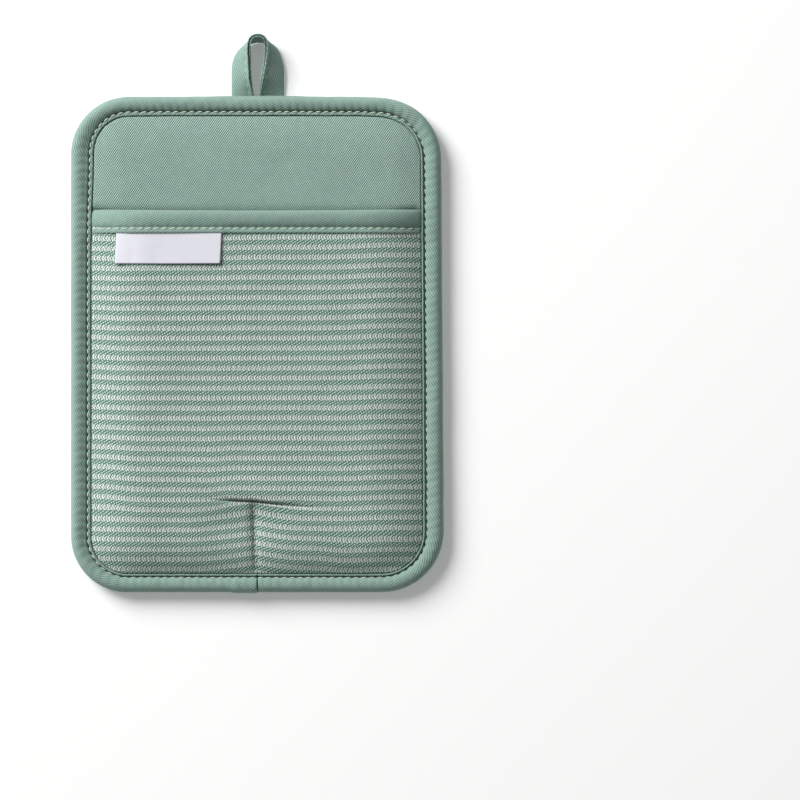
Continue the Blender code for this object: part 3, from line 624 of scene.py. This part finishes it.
def striped_pocket():
    lines = pocket_lines()
    half, tucked, fine = 82, 3, 6
    edging = EDGE_NEAR / sides_at(1.0)[1]

    def columns_at(column):
        """Signed place across; beyond 1 it lies under the tape."""
        step = column - half - tucked
        side = 1 if step > 0 else -1
        step = abs(step)
        if step > half:
            return side * (1.0 + (step - half) / tucked)
        if step > half - fine:
            return side * mix(1.0 - edging, 1.0, (step - half + fine) / fine)
        return side * (1.0 - edging) * (step / (half - fine)) ** 1.25

    def place(u, v):
        line = lines[round(v * (len(lines) - 1))]
        across = columns_at(round(u * 2 * (half + tucked)))
        inner = span_at(line, 1.0)
        outer = span_at(line, 0.5)
        middle = seam_x(line)
        side = 1 if across > 0 else 0
        within_sides = min(abs(across), 1.0)
        x = mix(middle, inner[side], within_sides)
        x = mix(x, outer[side], max(abs(across) - 1.0, 0.0))
        near_fold = within(line, SEAM_HIGH.y - 3 * MM, SEAM_HIGH.y + 4 * MM, 9 * MM)
        y = line + (fold_y(x) - SEAM_HIGH.y) * near_fold * (1.0 - within_sides**4)
        count = stripe_count(x, y)
        height = pocket_middle(max(min(across, 1.0), -1.0), x, y) * MM + POCKET_THICK / 2
        height += 0.07 * MM * (1 - math.cos(math.tau * count)) * (1.0 - within_sides**6)
        above = y - fold_y(x)
        hang = FOLD_HANGS * fold_reach(x, y) * bell(above, 0.9 * MM)
        return Vector((x, y - hang, height)), (x, -count * STRIPE)

    def below(point):
        return point.z - POCKET_THICK

    bm = cut_flat(2 * (half + tucked), len(lines) - 1)
    lay(bm, place)
    give_thickness(bm, below)
    pocket = make_piece(bm, "striped_pocket", striped_cloth(), ["pocket_panel"])


striped_pocket()

# ---- band over the pocket's mouth ----
# The same twill tape as the edge, folded over the top of the pocket and stitched through
# 8.7 mm below its fold.  It swells above the stitches and lies flat below them.

# Millimetres below the fold, height in millimetres, and how much of the label's thickness lifts it
BAND_SECTION = (
    (11.4, 0.80, 0.9), (11.45, 1.20, 0.9), (11.2, 1.48, 0.9), (10.6, 1.56, 0.9), (9.9, 1.50, 0.9),
    (9.3, 1.22, 0.9), (8.95, 0.92, 0.9), (8.65, 0.92, 0.8), (8.3, 1.25, 0.6), (7.8, 1.62, 0.4),
    (7.0, 1.95, 0.15), (6.0, 2.15, 0.0), (4.9, 2.22, 0.0), (3.8, 2.18, 0.0), (2.7, 2.02, 0.0),
    (1.7, 1.74, 0.0), (0.9, 1.34, 0.0), (0.3, 0.80, 0.0), (0.0, 0.15, 0.0), (0.1, -0.55, 0.0),
    (0.6, -1.10, 0.0), (1.8, -1.45, 0.0), (6.0, -1.50, 0.0), (10.8, -1.50, 0.0), (10.8, -0.75, 0.0),
    (6.0, -0.75, 0.0), (1.2, -0.72, 0.0), (0.8, 0.00, 0.0), (1.2, 0.70, 0.0), (4.5, 0.72, 0.0),
    (7.2, 0.60, 0.2), (8.6, 0.60, 0.9), (11.3, 0.62, 0.9),
)
BAND_SEAM = 8.75
LABEL_LEFT, LABEL_RIGHT = -66.8 * MM, -16.6 * MM


def over_label(x):
    return within(x, LABEL_LEFT - 0.3 * MM, LABEL_RIGHT + 0.3 * MM, 3 * MM)


def at_hole(along, pitch=STITCH):
    """1 at each needle hole along a seam, 0 half way between two."""
    return (0.5 + 0.5 * math.cos(math.tau * along / pitch)) ** 2


def band_point(x, row):
    """A point of the band's section, with its swelling and the pull of the stitches."""
    drop, height, lifted = row
    across = max(min(across_at(x, BAND_LOW_Y), 1.0), -1.0)
    inside = inside_by(x, BAND_LOW_Y)
    middle = pocket_middle(across, x, MOUTH_Y) - 0.9 * math.exp(-max(inside, -0.5 * MM) / (3 * MM))
    pulled = 0.0
    if height > 0.75:
        from_seam = drop - BAND_SEAM
        pulled = 0.30 * at_hole(x) * math.exp(-abs(from_seam) / (1.5 if from_seam < 0 else 0.8))
        crown = ease(drop / 2.0) * ease((BAND_SEAM - drop) / 2.0)
        swell = 0.16 * bumps(x, drop * MM, 6 * MM, 3.0) + 0.1 * bumps(x, drop * MM, 2.6 * MM, 4.0)
        pulled -= crown * swell
    wavy = 0.12 * bumps(x, 0.0, 16 * MM, 8.0) if drop > 9.0 or drop < 1.0 else 0.0
    wavy += 0.7 * (1.0 - across**2) * max(1.0 - drop / 8.0, 0.0)
    height += mix(-0.06, 0.14, ease((x + 80 * MM) / (55 * MM))) * max(BAND_SEAM - drop, 0.0)
    height *= mix(0.6, 1.0, ease((inside + 2.2 * MM) / (2.5 * MM)))
    height += 0.55 * lifted * over_label(x) - pulled
    return Vector((x, MOUTH_Y - (drop + wavy) * MM, (middle + height) * MM))


def lengths_along(section):
    """Distance along a section to each of its points, in metres."""
    lengths = [0.0]
    for first, second in zip(section, section[1:]):
        lengths.append(lengths[-1] + math.hypot(second[0] - first[0], second[1] - first[1]) * MM)
    return lengths


def close_up(bm, nearest):
    """Joins the points that meet, fills the open ends and turns the faces outwards."""
    bmesh.ops.remove_doubles(bm, verts=bm.verts[:], dist=nearest)
    bmesh.ops.holes_fill(bm, edges=[edge for edge in bm.edges if edge.is_boundary], sides=0)
    bmesh.ops.recalc_face_normals(bm, faces=bm.faces[:])


def mouth_band():
    section = BAND_SECTION + BAND_SECTION[:1]
    lengths = lengths_along(section)
    left, right = sides_at(0.45)[:2]

    def place(across, along):
        step = round(along * (len(section) - 1))
        x = mix(left, right, across)
        return band_point(x, section[step]), (x, lengths[step])

    bm = cut_flat(230, len(section) - 1)
    lay(bm, place)
    close_up(bm, 0.01 * MM)
    band = make_piece(bm, "mouth_band", binding_twill, ["pocket_binding"])


BINDING_COLOURS = (0.315, 0.455, 0.395), (0.175, 0.27, 0.228)
binding_twill = twill_material("binding_twill", *BINDING_COLOURS, 28, 1.05 * MM, 80, 0.95 * MM, 0.4, 0.1 * MM)
mouth_band()

# ---- label ----
# A blank woven satin label, cut with square corners, its upper edge caught under the band.

LABEL_LOW_Y = MOUTH_Y - 25.9 * MM
LABEL_TOP_Y = MOUTH_Y - 9.2 * MM
LABEL_THICK = 0.35 * MM


def label_satin():
    material, tree, surface = blank_material("label_satin", 0.5, 0.3, sheen=0.1)
    cut = node(tree, "ShaderNodeUVMap", uv_map="cut")
    picks = thread_lines(tree, cut, 0, 0.42 * MM, 0.4, 0.5)
    ends = thread_lines(tree, cut, 90, 0.3 * MM, 0.5, 0.5)
    weave = sum_of(tree, "MULTIPLY_ADD", ends, 0.4, sum_of(tree, "MULTIPLY", picks, 0.6))
    soft = spots(tree, cut, 5 * MM)
    colour = colours_mixed(tree, weave, (0.70, 0.70, 0.78), (0.81, 0.81, 0.89))
    colour = colours_mixed(tree, sum_of(tree, "MULTIPLY", soft, 0.3), colour, (0.75, 0.745, 0.81))
    tree.links.new(colour, surface.inputs["Base Color"])
    tree.links.new(stepped(tree, weave, 0.2, 0.8, 0.62, 0.45), surface.inputs["Roughness"])
    press_in(tree, surface, weave, 0.06 * MM, 0.6)
    return material


def label():
    def place(across, along):
        y = mix(LABEL_LOW_Y, LABEL_TOP_Y, along)
        x = mix(LABEL_LEFT, LABEL_RIGHT, across) - 0.8 * MM * (1.0 - along)
        free = 1.0 - along
        bow = 0.12 * MM * math.sin(math.pi * across) * free
        under = pocket_middle(across_at(x, y), x, y) * MM + POCKET_THICK / 2
        level = pocket_middle(across_at(LABEL_RIGHT, y), LABEL_RIGHT, y) * MM + POCKET_THICK / 2
        level += mix(-0.8, 0.9, across) * MM
        under = max(mix(under, level, 0.25 + 0.45 * free), under)
        edge = min(across, 1.0 - across) * (LABEL_RIGHT - LABEL_LEFT)
        hem = math.exp(-edge / (0.7 * MM)) + math.exp(-(y - LABEL_LOW_Y) / (0.7 * MM))
        curl = 0.25 * MM * free**3 * (0.6 + bumps(x, 0.0, 17 * MM, 4.0))
        ripple = 0.05 * MM * bumps(x, y, 7 * MM, 2.0)
        gap = mix(0.4, mix(0.1, 0.3, across), along) * MM
        top = under + gap + LABEL_THICK + curl + ripple - 0.06 * MM * hem
        return Vector((x, y - bow, top)), (x, y)

    def below(point):
        return point.z - LABEL_THICK

    bm = cut_flat(84, 34)
    lay(bm, place)
    give_thickness(bm, below)
    piece = make_piece(bm, "label_cloth", label_satin(), ["label"])


label()

# ---- hanging loop ----
# The same tape folded in half along its length and stitched near its open edge.  It leaves the
# top edge lying flat and stands on edge round its crown.  Its ends are sewn across the back of
# the edge tape.

LOOP_PATH = (
    # outer fold x y z, open edge x y z, thickness, in millimetres from the loop's middle
    (-12.4, -7.9, 0.5, -1.5, -7.9, 0.5, 1.0),
    (-12.4, -3.0, 0.5, -1.5, -3.0, 0.5, 1.0),
    (-12.7, 0.5, 0.8, -2.1, 0.5, 2.4, 1.5),
    (-12.6, 8.6, 1.1, -3.5, 8.6, 7.9, 2.2),
    (-12.2, 16.4, 0.95, -3.9, 16.4, 8.6, 2.2),
    (-9.6, 21.8, 0.7, -4.1, 22.3, 9.8, 2.1),
    (-6.0, 24.6, 0.5, -3.6, 26.6, 10.8, 1.8),
    (-2.0, 26.2, 0.3, -1.6, 28.7, 11.0, 1.6),
    (1.8, 26.3, 0.3, 1.5, 28.8, 11.0, 1.6),
    (5.8, 25.2, 0.5, 3.6, 27.0, 10.8, 1.8),
    (9.4, 22.6, 0.7, 3.9, 22.7, 9.8, 2.1),
    (12.0, 15.4, 0.95, 3.2, 15.8, 8.6, 2.2),
    (12.4, 8.2, 1.1, 1.8, 8.2, 7.9, 2.2),
    (12.3, 0.5, 0.8, 0.7, 0.5, 2.4, 1.5),
    (12.4, -3.0, 0.5, 0.9, -3.0, 0.5, 1.0),
    (12.4, -7.9, 0.5, 0.9, -7.9, 0.5, 1.0),
)
LOOP_STEPS = 12
LOOP_SEAM = 0.82
# Across the folded tape: place from the fold, 0, to the open edge, 1, and half thicknesses out
LOOP_SECTION = (
    (0.0, 0.0), (0.01, 0.3), (0.045, 0.6), (0.11, 0.8), (0.22, 0.88), (0.38, 0.88), (0.54, 0.82),
    (0.68, 0.72), (0.77, 0.6), (LOOP_SEAM, 0.5), (0.87, 0.64), (0.92, 0.88), (0.965, 1.02),
    (0.992, 0.98), (1.0, 0.82), (1.0, 0.52), (0.98, 0.38), (0.92, 0.28), (0.84, 0.05), (0.60, 0.16),
    (0.35, 0.22), (0.15, 0.18), (0.09, 0.06),
)


def smooth_path(rows, steps):
    """Rows of a path with smooth ones between them."""
    path = []
    for index in range(len(rows) - 1):
        near = [rows[min(max(index + offset, 0), len(rows) - 1)] for offset in (-1, 0, 1, 2)]
        for step in range(steps):
            t = step / steps
            row = []
            for a, b, c, d in zip(*near):
                bend = 2 * a - 5 * b + 4 * c - d + t * (3 * (b - c) + d - a)
                row.append(b + 0.5 * t * (c - a + t * bend))
            path.append(row)
    return path + [list(rows[-1])]


def loop_frames():
    """For each place along the loop: fold, open edge, direction out of its face, thickness, distance."""
    base = Vector((LOOP_X, TOP, 0))
    rows = smooth_path(LOOP_PATH, LOOP_STEPS)
    folds = [base + Vector(row[0:3]) * MM for row in rows]
    opens = [base + Vector(row[3:6]) * MM for row in rows]
    frames = []
    distance = 0.0
    for index, row in enumerate(rows):
        behind, ahead = max(index - 1, 0), min(index + 1, len(rows) - 1)
        along = (folds[ahead] + opens[ahead] - folds[behind] - opens[behind]) / 2
        if index:
            distance += ((folds[index] + opens[index] - folds[index - 1] - opens[index - 1]) / 2).length
        out = along.cross(opens[index] - folds[index]).normalized()
        frames.append((folds[index], opens[index], out, row[6] * MM, distance))
    return frames


def loop_point(loop, share, out):
    """A point of the tape on one of the loop's frames; out is in half thicknesses."""
    fold, open_edge, side, thick, distance = loop
    pulled = 0.25 * at_hole(distance) * math.exp(-abs(share - LOOP_SEAM) / 0.07) if abs(out) > 0.3 else 0.0
    swell = 0.1 * bumps(distance, share * 10 * MM, 5 * MM, 3.0 + out)
    out *= 1.0 - pulled + (swell if 0.05 < share < 0.75 else 0.0)
    wavy = 0.012 * bumps(distance, 0.0, 3.1 * MM, 6.0 + (1 if out > 0 else 0)) * share
    return fold + (open_edge - fold) * (share + wavy) + side * (thick / 2 * out)


def hanging_loop():
    frames = loop_frames()
    near = list(LOOP_SECTION)
    section = near + [(share, -out) for share, out in reversed(near[1:])] + [near[0]]
    lowest = min(range(len(frames)), key=lambda index: frames[index][0].z)
    width = (frames[lowest][1] - frames[lowest][0]).length

    def place(along, round_it):
        loop = frames[round(along * (len(frames) - 1))]
        step = round(round_it * (len(section) - 1))
        share, out = section[step]
        side = 1.0 if step < len(near) else -1.0
        point = loop_point(loop, share, out)
        point.z = max(point.z, 0.0)
        return point, (loop[4], side * share * width)

    bm = cut_flat(len(frames) - 1, len(section) - 1)
    lay(bm, place)
    close_up(bm, 0.005 * MM)
    tape = make_piece(bm, "hanging_loop_tape", binding_twill, ["hanging_loop"], leans=False)


hanging_loop()

# ---- edge tape ----
# Bias-cut twill tape folded round the edge of all the layers, rolled into a bead and stitched
# through, which leaves a flat flange inside the stitches on both faces.  Its end laps over its
# start at the middle of the foot.

SEAM_SHARE = 0.81
SEAM_AT = {"left": 0.79, "right": 0.86, "foot": 0.85, "top": 0.735}
ROLLED = {"left": 0.42, "right": 0.0, "foot": -0.15, "top": -0.1}
THREAD_ASIDE = {"left": 0.62, "right": -0.62, "foot": -0.42, "top": 0.62}
CRACK = {"left": -0.02, "right": 0.05, "foot": 0.02, "top": -0.02}
HABITS = (SEAM_AT, ROLLED, THREAD_ASIDE, CRACK)
# Corners counter-clockwise from the foot's middle: side, end, and the angle where each starts
CORNERS = ((1, -1, -90), (1, 1, 0), (-1, 1, 90), (-1, -1, 180))
JOINT_X = -0.5 * MM
LAP_LONG = 13.0 * MM
LAP_RISE = 0.42
LAP_UNDER = 2.0 * MM
# Share of the tape's width and height in millimetres, from the flange round the bead and back inside
TAPE_SECTION = (
    (0.972, 6.70), (0.985, 7.30), (0.975, 7.70), (0.945, 7.86), (0.905, 7.88), (0.878, 7.72), (0.864, 7.20),
    (0.85, 6.30), (SEAM_SHARE, 5.80), (0.788, 6.30), (0.777, 7.20), (0.757, 7.80), (0.715, 8.22),
    (0.65, 8.60), (0.58, 8.92), (0.50, 9.14), (0.41, 9.26), (0.32, 9.22), (0.235, 8.98), (0.16, 8.52),
    (0.10, 7.90), (0.055, 7.10), (0.025, 6.25), (0.008, 5.40), (0.0, 4.60), (0.008, 3.86), (0.032, 3.12),
    (0.07, 2.42), (0.12, 1.80), (0.18, 1.22), (0.25, 0.72), (0.33, 0.34), (0.42, 0.10), (0.52, 0.0),
    (0.62, 0.06), (0.70, 0.28), (0.76, 0.62), (0.79, 0.90), (SEAM_SHARE, 1.0), (0.83, 0.86), (0.86, 0.55),
    (0.90, 0.42), (0.935, 0.46), (0.955, 0.62), (0.96, 0.95), (0.94, 1.18), (0.60, 1.25), (0.36, 1.40),
    (0.22, 2.6), (0.19, 4.4), (0.22, 6.2), (0.36, 7.0), (0.60, 6.5), (0.80, 5.55),
)
# Width of the tape in millimetres, for the distances along its section
TAPE_FLAT = 9.2
TAPE_TOP_ROWS = 24
TAPE_OUTER_ROWS = 46
RING_STEPS = 1480
START_STEPS, START_SPACING = 18, 0.2 * MM
# The last rings turn the cut end in: millimetres past the joint, and how much of the lap's rise is gone
TAPE_END = ((0.0, 0.0), (0.16, 0.35), (0.22, 1.0), (0.2, 1.6))


def warped(share, seam):
    """Moves the seam of the section to that share of the tape's width."""
    if share < SEAM_SHARE:
        return share * seam / SEAM_SHARE
    return 1.0 - (1.0 - share) * (1.0 - seam) / (1.0 - SEAM_SHARE)


def rim_runs():
    """Runs of the tape as (length on its seam, outer and inner point at a share of the run, its sides)."""
    runs = []

    def corner_point(corner, share_along, inset):
        side, end, start = corner
        x, y, radius = corner_at(side, end, inset)
        angle = math.radians(start + 90 * share_along)
        return Vector((x + radius * math.cos(angle), y + radius * math.sin(angle), 0.0))

    def straight(first, second, sides):
        def points(share):
            return first(0.0).lerp(second(0.0), share), first(1.0).lerp(second(1.0), share)

        runs.append(((second(SEAM_SHARE) - first(SEAM_SHARE)).length, points, sides))

    def arc(corner, sides):
        def points(share):
            return corner_point(corner, share, 0.0), corner_point(corner, share, 1.0)

        runs.append((corner_at(corner[0], corner[1], SEAM_SHARE)[2] * math.pi / 2, points, sides))

    def joint(inset):
        return Vector((JOINT_X, sides_at(inset)[2], 0.0))

    order = ("foot", "right", "top", "left", "foot")
    last = joint
    for corner, here, after in zip(CORNERS, order, order[1:]):
        straight(last, lambda inset, corner=corner: corner_point(corner, 0.0, inset), (here, here))
        arc(corner, (here, after))
        last = lambda inset, corner=corner: corner_point(corner, 1.0, inset)
    straight(last, joint, ("foot", "foot"))
    return runs


RIM_RUNS = rim_runs()
RIM_LONG = sum(run[0] for run in RIM_RUNS)
RIM_STITCH = RIM_LONG / round(RIM_LONG / STITCH)


def rim_station(distance):
    """At a distance along the seam: the two edges, and how the sides' habits mix there."""
    left = min(max(distance, 0.0), RIM_LONG - 0.0001 * MM)
    for length, points, sides in RIM_RUNS:
        if left <= length:
            break
        left -= length
    share = min(left / length, 1.0)
    outer, inner = points(share)
    inner += (inner - outer).normalized() * flange_extra(inner.x, inner.y)
    if distance < 0.0:
        step = Vector((distance, 0.0, 0.0))
        outer, inner = outer + step, inner + step
    return outer, inner, *(mix(habit[sides[0]], habit[sides[1]], ease(share)) for habit in HABITS)


def uneven(distance, share, side):
    """Soft humps of the rolled bead, and its slant between the stitches, in millimetres."""
    bead = math.sin(math.pi * min(share / SEAM_SHARE, 1.0))
    swell = 0.22 * bumps(distance, share * 5 * MM, 9 * MM, side)
    swell += 0.16 * bumps(distance, share * 8 * MM, 3.5 * MM, side + 2.0)
    slant = 0.06 * math.cos(math.tau * (distance + share * 4 * MM) / RIM_STITCH)
    return bead * (swell + slant)


def tape_point(distance, index, ring_end=0.0):
    """A point of the tape: its section, the pull of the stitches, its unevenness and its lap."""
    share, height = TAPE_SECTION[index]
    outer, inner, seam, rolled, _, crack = rim_station(distance)
    upper = index <= TAPE_TOP_ROWS
    outward = 1 if upper else -1
    if upper and share < 0.8:
        share -= crack * math.exp((share - 0.79) / 0.06)
    point = outer.lerp(inner, warped(share, seam))
    x, y = point.x, point.y
    width = (inner - outer).length
    out = (outer - inner).normalized()
    crossing = over_loop(x) if y > 0 else 0.0
    if upper or index > TAPE_OUTER_ROWS + 4:
        height += 0.5 * band_share(y) * ease((share - 0.3) / 0.5)
    else:
        over_ends = 2.8 if index > TAPE_OUTER_ROWS - 2 else 1.9
        height = max(height, mix(height, over_ends, crossing))
    off = 0.0
    if index < TAPE_OUTER_ROWS:
        from_seam = (share - SEAM_SHARE) * width / MM
        reach = 1.5 if from_seam < 0 else 0.7
        pulled = at_hole(distance, RIM_STITCH) * math.exp(-abs(from_seam) / reach)
        side = 0.0 if upper else 40.0
        if upper and share < SEAM_SHARE:
            roll = rolled + 0.3 * bumps(distance, 0.0, 30 * MM, 15.0)
            roll *= ease(share / 0.12) * ease((0.79 - share) / 0.12)
            height += roll * math.cos(math.pi * share / SEAM_SHARE)
        calmer = 1.0 if upper else 1.0 - 0.8 * crossing
        height += outward * calmer * (uneven(distance, share, side) - 0.45 * pulled)
        if y > 0:
            off += 0.5 * bell(x - LOOP_X, 24 * MM) * ease((0.7 - share) / 0.5)
        off += 0.12 * bumps(distance, 0.0, 26 * MM, 5.0) + 0.07 * bumps(distance, 0.0, 7 * MM, 7.0)
        if share > 0.9:
            off -= 0.14 * bumps(distance, 0.0, 5 * MM, 12.0 + side)
        notch = 1.7 * bell(distance - 0.35 * MM, 0.4 * MM) * ease(share / 0.1)
        height -= outward * notch
        lapped = ease((distance - RIM_LONG + LAP_LONG) / (3 * MM)) * (1.0 - ring_end)
        thick = 0.3 + 0.7 * ease((SEAM_SHARE + 0.02 - share) / 0.1)
        height += outward * LAP_RISE * lapped * thick * ease(share / 0.35)
        off += LAP_RISE * lapped * ease((0.55 - share) / 0.4)
        if not upper and not crossing:
            height = max(height, 0.2 if distance < 0.0 else 0.0)
    point += out * (off * MM)
    point.z = height * MM
    return point


def edge_tape():
    rows = len(TAPE_SECTION)
    section = TAPE_SECTION + TAPE_SECTION[:1]
    lengths = lengths_along([(share * TAPE_FLAT, height) for share, height in section])
    last = RING_STEPS - len(TAPE_END) + 1

    def place(along, across):
        step = round(along * RING_STEPS)
        row = round(across * rows)
        ring_end = 0.0
        if step < START_STEPS:
            distance = step * START_SPACING - LAP_UNDER
        elif step < last:
            share = (step - START_STEPS) / (last - START_STEPS)
            distance = mix(START_STEPS * START_SPACING - LAP_UNDER, RIM_LONG, share)
        else:
            past, ring_end = TAPE_END[step - last]
            distance = RIM_LONG + past * MM
        point = tape_point(distance, row % rows, ring_end)
        if distance > RIM_LONG:
            point.x += distance - RIM_LONG
        return point, (distance, -lengths[row])

    bm = cut_flat(RING_STEPS, rows)
    lay(bm, place)
    close_up(bm, 0.002 * MM)
    tape = make_piece(bm, "edge_tape", binding_twill, ["edge_binding"])


edge_tape()

# ---- sewing thread ----
# Pale cotton thread, about 0.6 mm thick: one row round the edge tape on both faces, one along the
# band, one up the seam of the tuck and one along the loop.  Each stitch sinks in at its ends.


def thread_material():
    material, tree, surface = blank_material("sewing_thread", 0.7, sheen=0.2)
    place = node(tree, "ShaderNodeTexCoord", out=3)
    tint = spots(tree, place, 9 * MM)
    strands = spots(tree, place, 0.25 * MM, seed=4.0)
    colour = colours_mixed(tree, tint, (0.56, 0.70, 0.58), (0.66, 0.70, 0.58))
    colour = colours_mixed(tree, stepped(tree, strands, 0.35, 0.65, 0.5, 0.0), colour, (0.36, 0.37, 0.26))
    tree.links.new(colour, surface.inputs["Base Color"])
    press_in(tree, surface, strands, 0.1 * MM, 0.6)
    return material


def add_stitch(bm, middle, along, up, length, thick):
    """One stitch: a slim grain of thread, its upper side showing."""
    along = along.normalized()
    side = up.cross(along).normalized()
    up = along.cross(side)
    grain = bmesh.ops.create_uvsphere(bm, u_segments=8, v_segments=6, radius=0.5)["verts"]
    for vertex in grain:
        x, y, z = vertex.co
        bend = 0.35 * (0.25 - z * z) * thick
        vertex.co = middle + along * (z * length) + side * (x * thick) + up * (y * thick + bend)


def rim_stitches(name, row, lift, face=1):
    """The stitches round the edge tape, over that row of its section, on its front, 1, or back, -1."""
    bm = bmesh.new()
    up = Vector((0, 0, face))
    for stitch in range(round(RIM_LONG / RIM_STITCH)):
        distance = (stitch + 0.5) * RIM_STITCH
        outer, inner, _, _, aside, _ = rim_station(distance)
        ahead = rim_station(distance + 0.2 * MM)[0] - rim_station(distance - 0.2 * MM)[0]
        inward = (inner - outer).normalized()
        if face < 0:
            aside = 0.3
        middle = tape_point(distance, row) + inward * (aside * MM)
        middle.z += (lift + 1.3 * max(aside, 0.0)) * MM
        jitter = bumps(distance, 0.0, 4.1 * MM, 20.0)
        slant = ahead.normalized() + inward * (0.10 + 0.1 * jitter)
        middle += inward * (0.08 * MM * jitter)
        add_stitch(bm, middle, slant, up, (2.6 + 0.5 * jitter) * MM, mix(0.55, 0.75, ease(aside * 2)) * MM)
    make_piece(bm, name, thread)


def band_stitches():
    bm = bmesh.new()
    seam_row = min(BAND_SECTION[:12], key=lambda row: abs(row[0] - 8.9))
    left, right = sides_at(1.0, 0.6 * MM)[:2]
    first = math.ceil(left / STITCH - 0.5)
    last = math.floor(right / STITCH - 0.5)
    for stitch in range(first, last + 1):
        x = (stitch + 0.5) * STITCH
        jitter = bumps(x, 0.0, 3.3 * MM, 30.0)
        middle = band_point(x, seam_row) + Vector((0.0, -0.28 * MM, 0.34 * MM))
        along = band_point(x + MM, seam_row) - band_point(x - MM, seam_row)
        along = along.normalized() + Vector((0.0, 0.10 + 0.08 * jitter, 0.0))
        add_stitch(bm, middle, along, Vector((0, 0, 1)), (2.9 + 0.5 * jitter) * MM, 0.75 * MM)
    make_piece(bm, "band_stitches", thread)


def tuck_stitches():
    bm = bmesh.new()
    pitch = 2.7 * MM
    count = round((SEAM_HIGH.y - SEAM_LOW.y) / pitch)
    for stitch in range(count):
        y = SEAM_LOW.y + (stitch + 0.5) * pitch
        x = seam_x(y) + 0.2 * MM
        z = pocket_middle(0.001, x, y) * MM + POCKET_THICK / 2
        jitter = bumps(y, 0.0, 3.0 * MM, 40.0)
        along = Vector((0.06 * jitter, 1.0, 0.0))
        middle = Vector((x, y, z + 0.35 * MM))
        add_stitch(bm, middle, along, Vector((0, 0, 1)), (1.8 + 0.4 * jitter) * MM, 0.6 * MM)
    make_piece(bm, "tuck_stitches", thread)


def loop_stitches():
    bm = bmesh.new()
    frames = loop_frames()
    count = int(frames[-1][4] / STITCH)
    for stitch in range(count):
        distance = (stitch + 0.5) * STITCH
        index = min(range(len(frames)), key=lambda number: abs(frames[number][4] - distance))
        behind, ahead = frames[max(index - 1, 0)], frames[min(index + 1, len(frames) - 1)]
        fold, open_edge, out, thick, _ = frames[index]
        if open_edge.y < TOP + 1.5 * MM:
            continue
        for face in (1, -1):
            middle = fold.lerp(open_edge, LOOP_SEAM + 0.01) + out * (face * (thick / 2 * 0.46 + 0.06 * MM))
            along = ahead[1] - behind[1]
            add_stitch(bm, middle, along, out * face, 2.4 * MM, 0.42 * MM)
    make_piece(bm, "loop_stitches", thread, leans=False)


thread = thread_material()
rim_stitches("rim_stitches_front", 8, 1.22)
rim_stitches("rim_stitches_back", 38, -0.69, face=-1)
band_stitches()
tuck_stitches()
loop_stitches()

# ---- floor, light and camera ----
# Plain white floor; one large soft light from the upper left, a pale surround to fill the
# shadows, and a long lens that looks straight down.

# The picture is 800 pixels wide, and the holder's origin lies this far across and down in it
PICTURE = 800
ORIGIN_ACROSS, ORIGIN_DOWN = 257.4, 313.2
# Metres to a pixel
PIXEL = 0.00047721
VIEW_X = (PICTURE / 2 - ORIGIN_ACROSS) * PIXEL
VIEW_Y = (ORIGIN_DOWN - PICTURE / 2) * PIXEL
LENS, FILM = 200.0, 36.0
LOOKED_AT_HIGH = 8 * MM
LIGHT_AROUND, LIGHT_UP = 137.0, 34.5
LIGHT_FAR, LIGHT_WIDE, LIGHT_POWER = 3.2, 1.96, 142.0
SURROUND_GLOW, FLOOR_GLOW = 0.21, 0.16
FLOOR_HALF, FLOOR_LOW = 3.0, -0.2 * MM


def floor():
    bm = bmesh.new()
    bmesh.ops.create_grid(bm, x_segments=8, y_segments=8, size=FLOOR_HALF)
    bmesh.ops.translate(bm, verts=bm.verts[:], vec=(0.0, 0.0, FLOOR_LOW))
    mesh = bpy.data.meshes.new("floor")
    bm.to_mesh(mesh)
    bm.free()
    material, tree, surface = blank_material("floor_white", 0.9, 0.1)
    cloud = spots(tree, node(tree, "ShaderNodeTexCoord", out=3), 0.4)
    white = colours_mixed(tree, cloud, (0.93, 0.93, 0.93), (0.95, 0.95, 0.95))
    tree.links.new(white, surface.inputs["Base Color"])
    surface.inputs["Emission Color"].default_value = (1.0, 1.0, 1.0, 1.0)
    surface.inputs["Emission Strength"].default_value = FLOOR_GLOW
    mesh.materials.append(material)
    add_object("floor", mesh)


def soft_light():
    data = bpy.data.lights.new("soft_box", "AREA")
    data.shape = "DISK"
    data.size = LIGHT_WIDE
    data.energy = LIGHT_POWER
    data.color = (1.0, 0.995, 0.985)
    lamp = add_object("soft_box", data)
    around, up = math.radians(LIGHT_AROUND), math.radians(LIGHT_UP)
    flat = math.cos(up)
    towards = Vector((math.cos(around) * flat, math.sin(around) * flat, math.sin(up)))
    lamp.location = towards * LIGHT_FAR
    lamp.rotation_euler = towards.to_track_quat("Z", "Y").to_euler()


def surround():
    world = bpy.data.worlds.new("surround")
    world.use_nodes = True
    shade = world.node_tree.nodes["Background"]
    shade.inputs["Color"].default_value = (0.985, 0.99, 1.0, 1.0)
    shade.inputs["Strength"].default_value = SURROUND_GLOW
    bpy.context.scene.world = world


def camera():
    data = bpy.data.cameras.new("view")
    data.lens = LENS
    data.sensor_width = FILM
    data.clip_end = 20.0
    made = add_object("view", data)
    made.location = (VIEW_X, VIEW_Y, LOOKED_AT_HIGH + PICTURE * PIXEL * LENS / FILM)
    bpy.context.scene.camera = made


floor()
soft_light()
surround()
camera()
bpy.context.scene.view_settings.view_transform = "Standard"
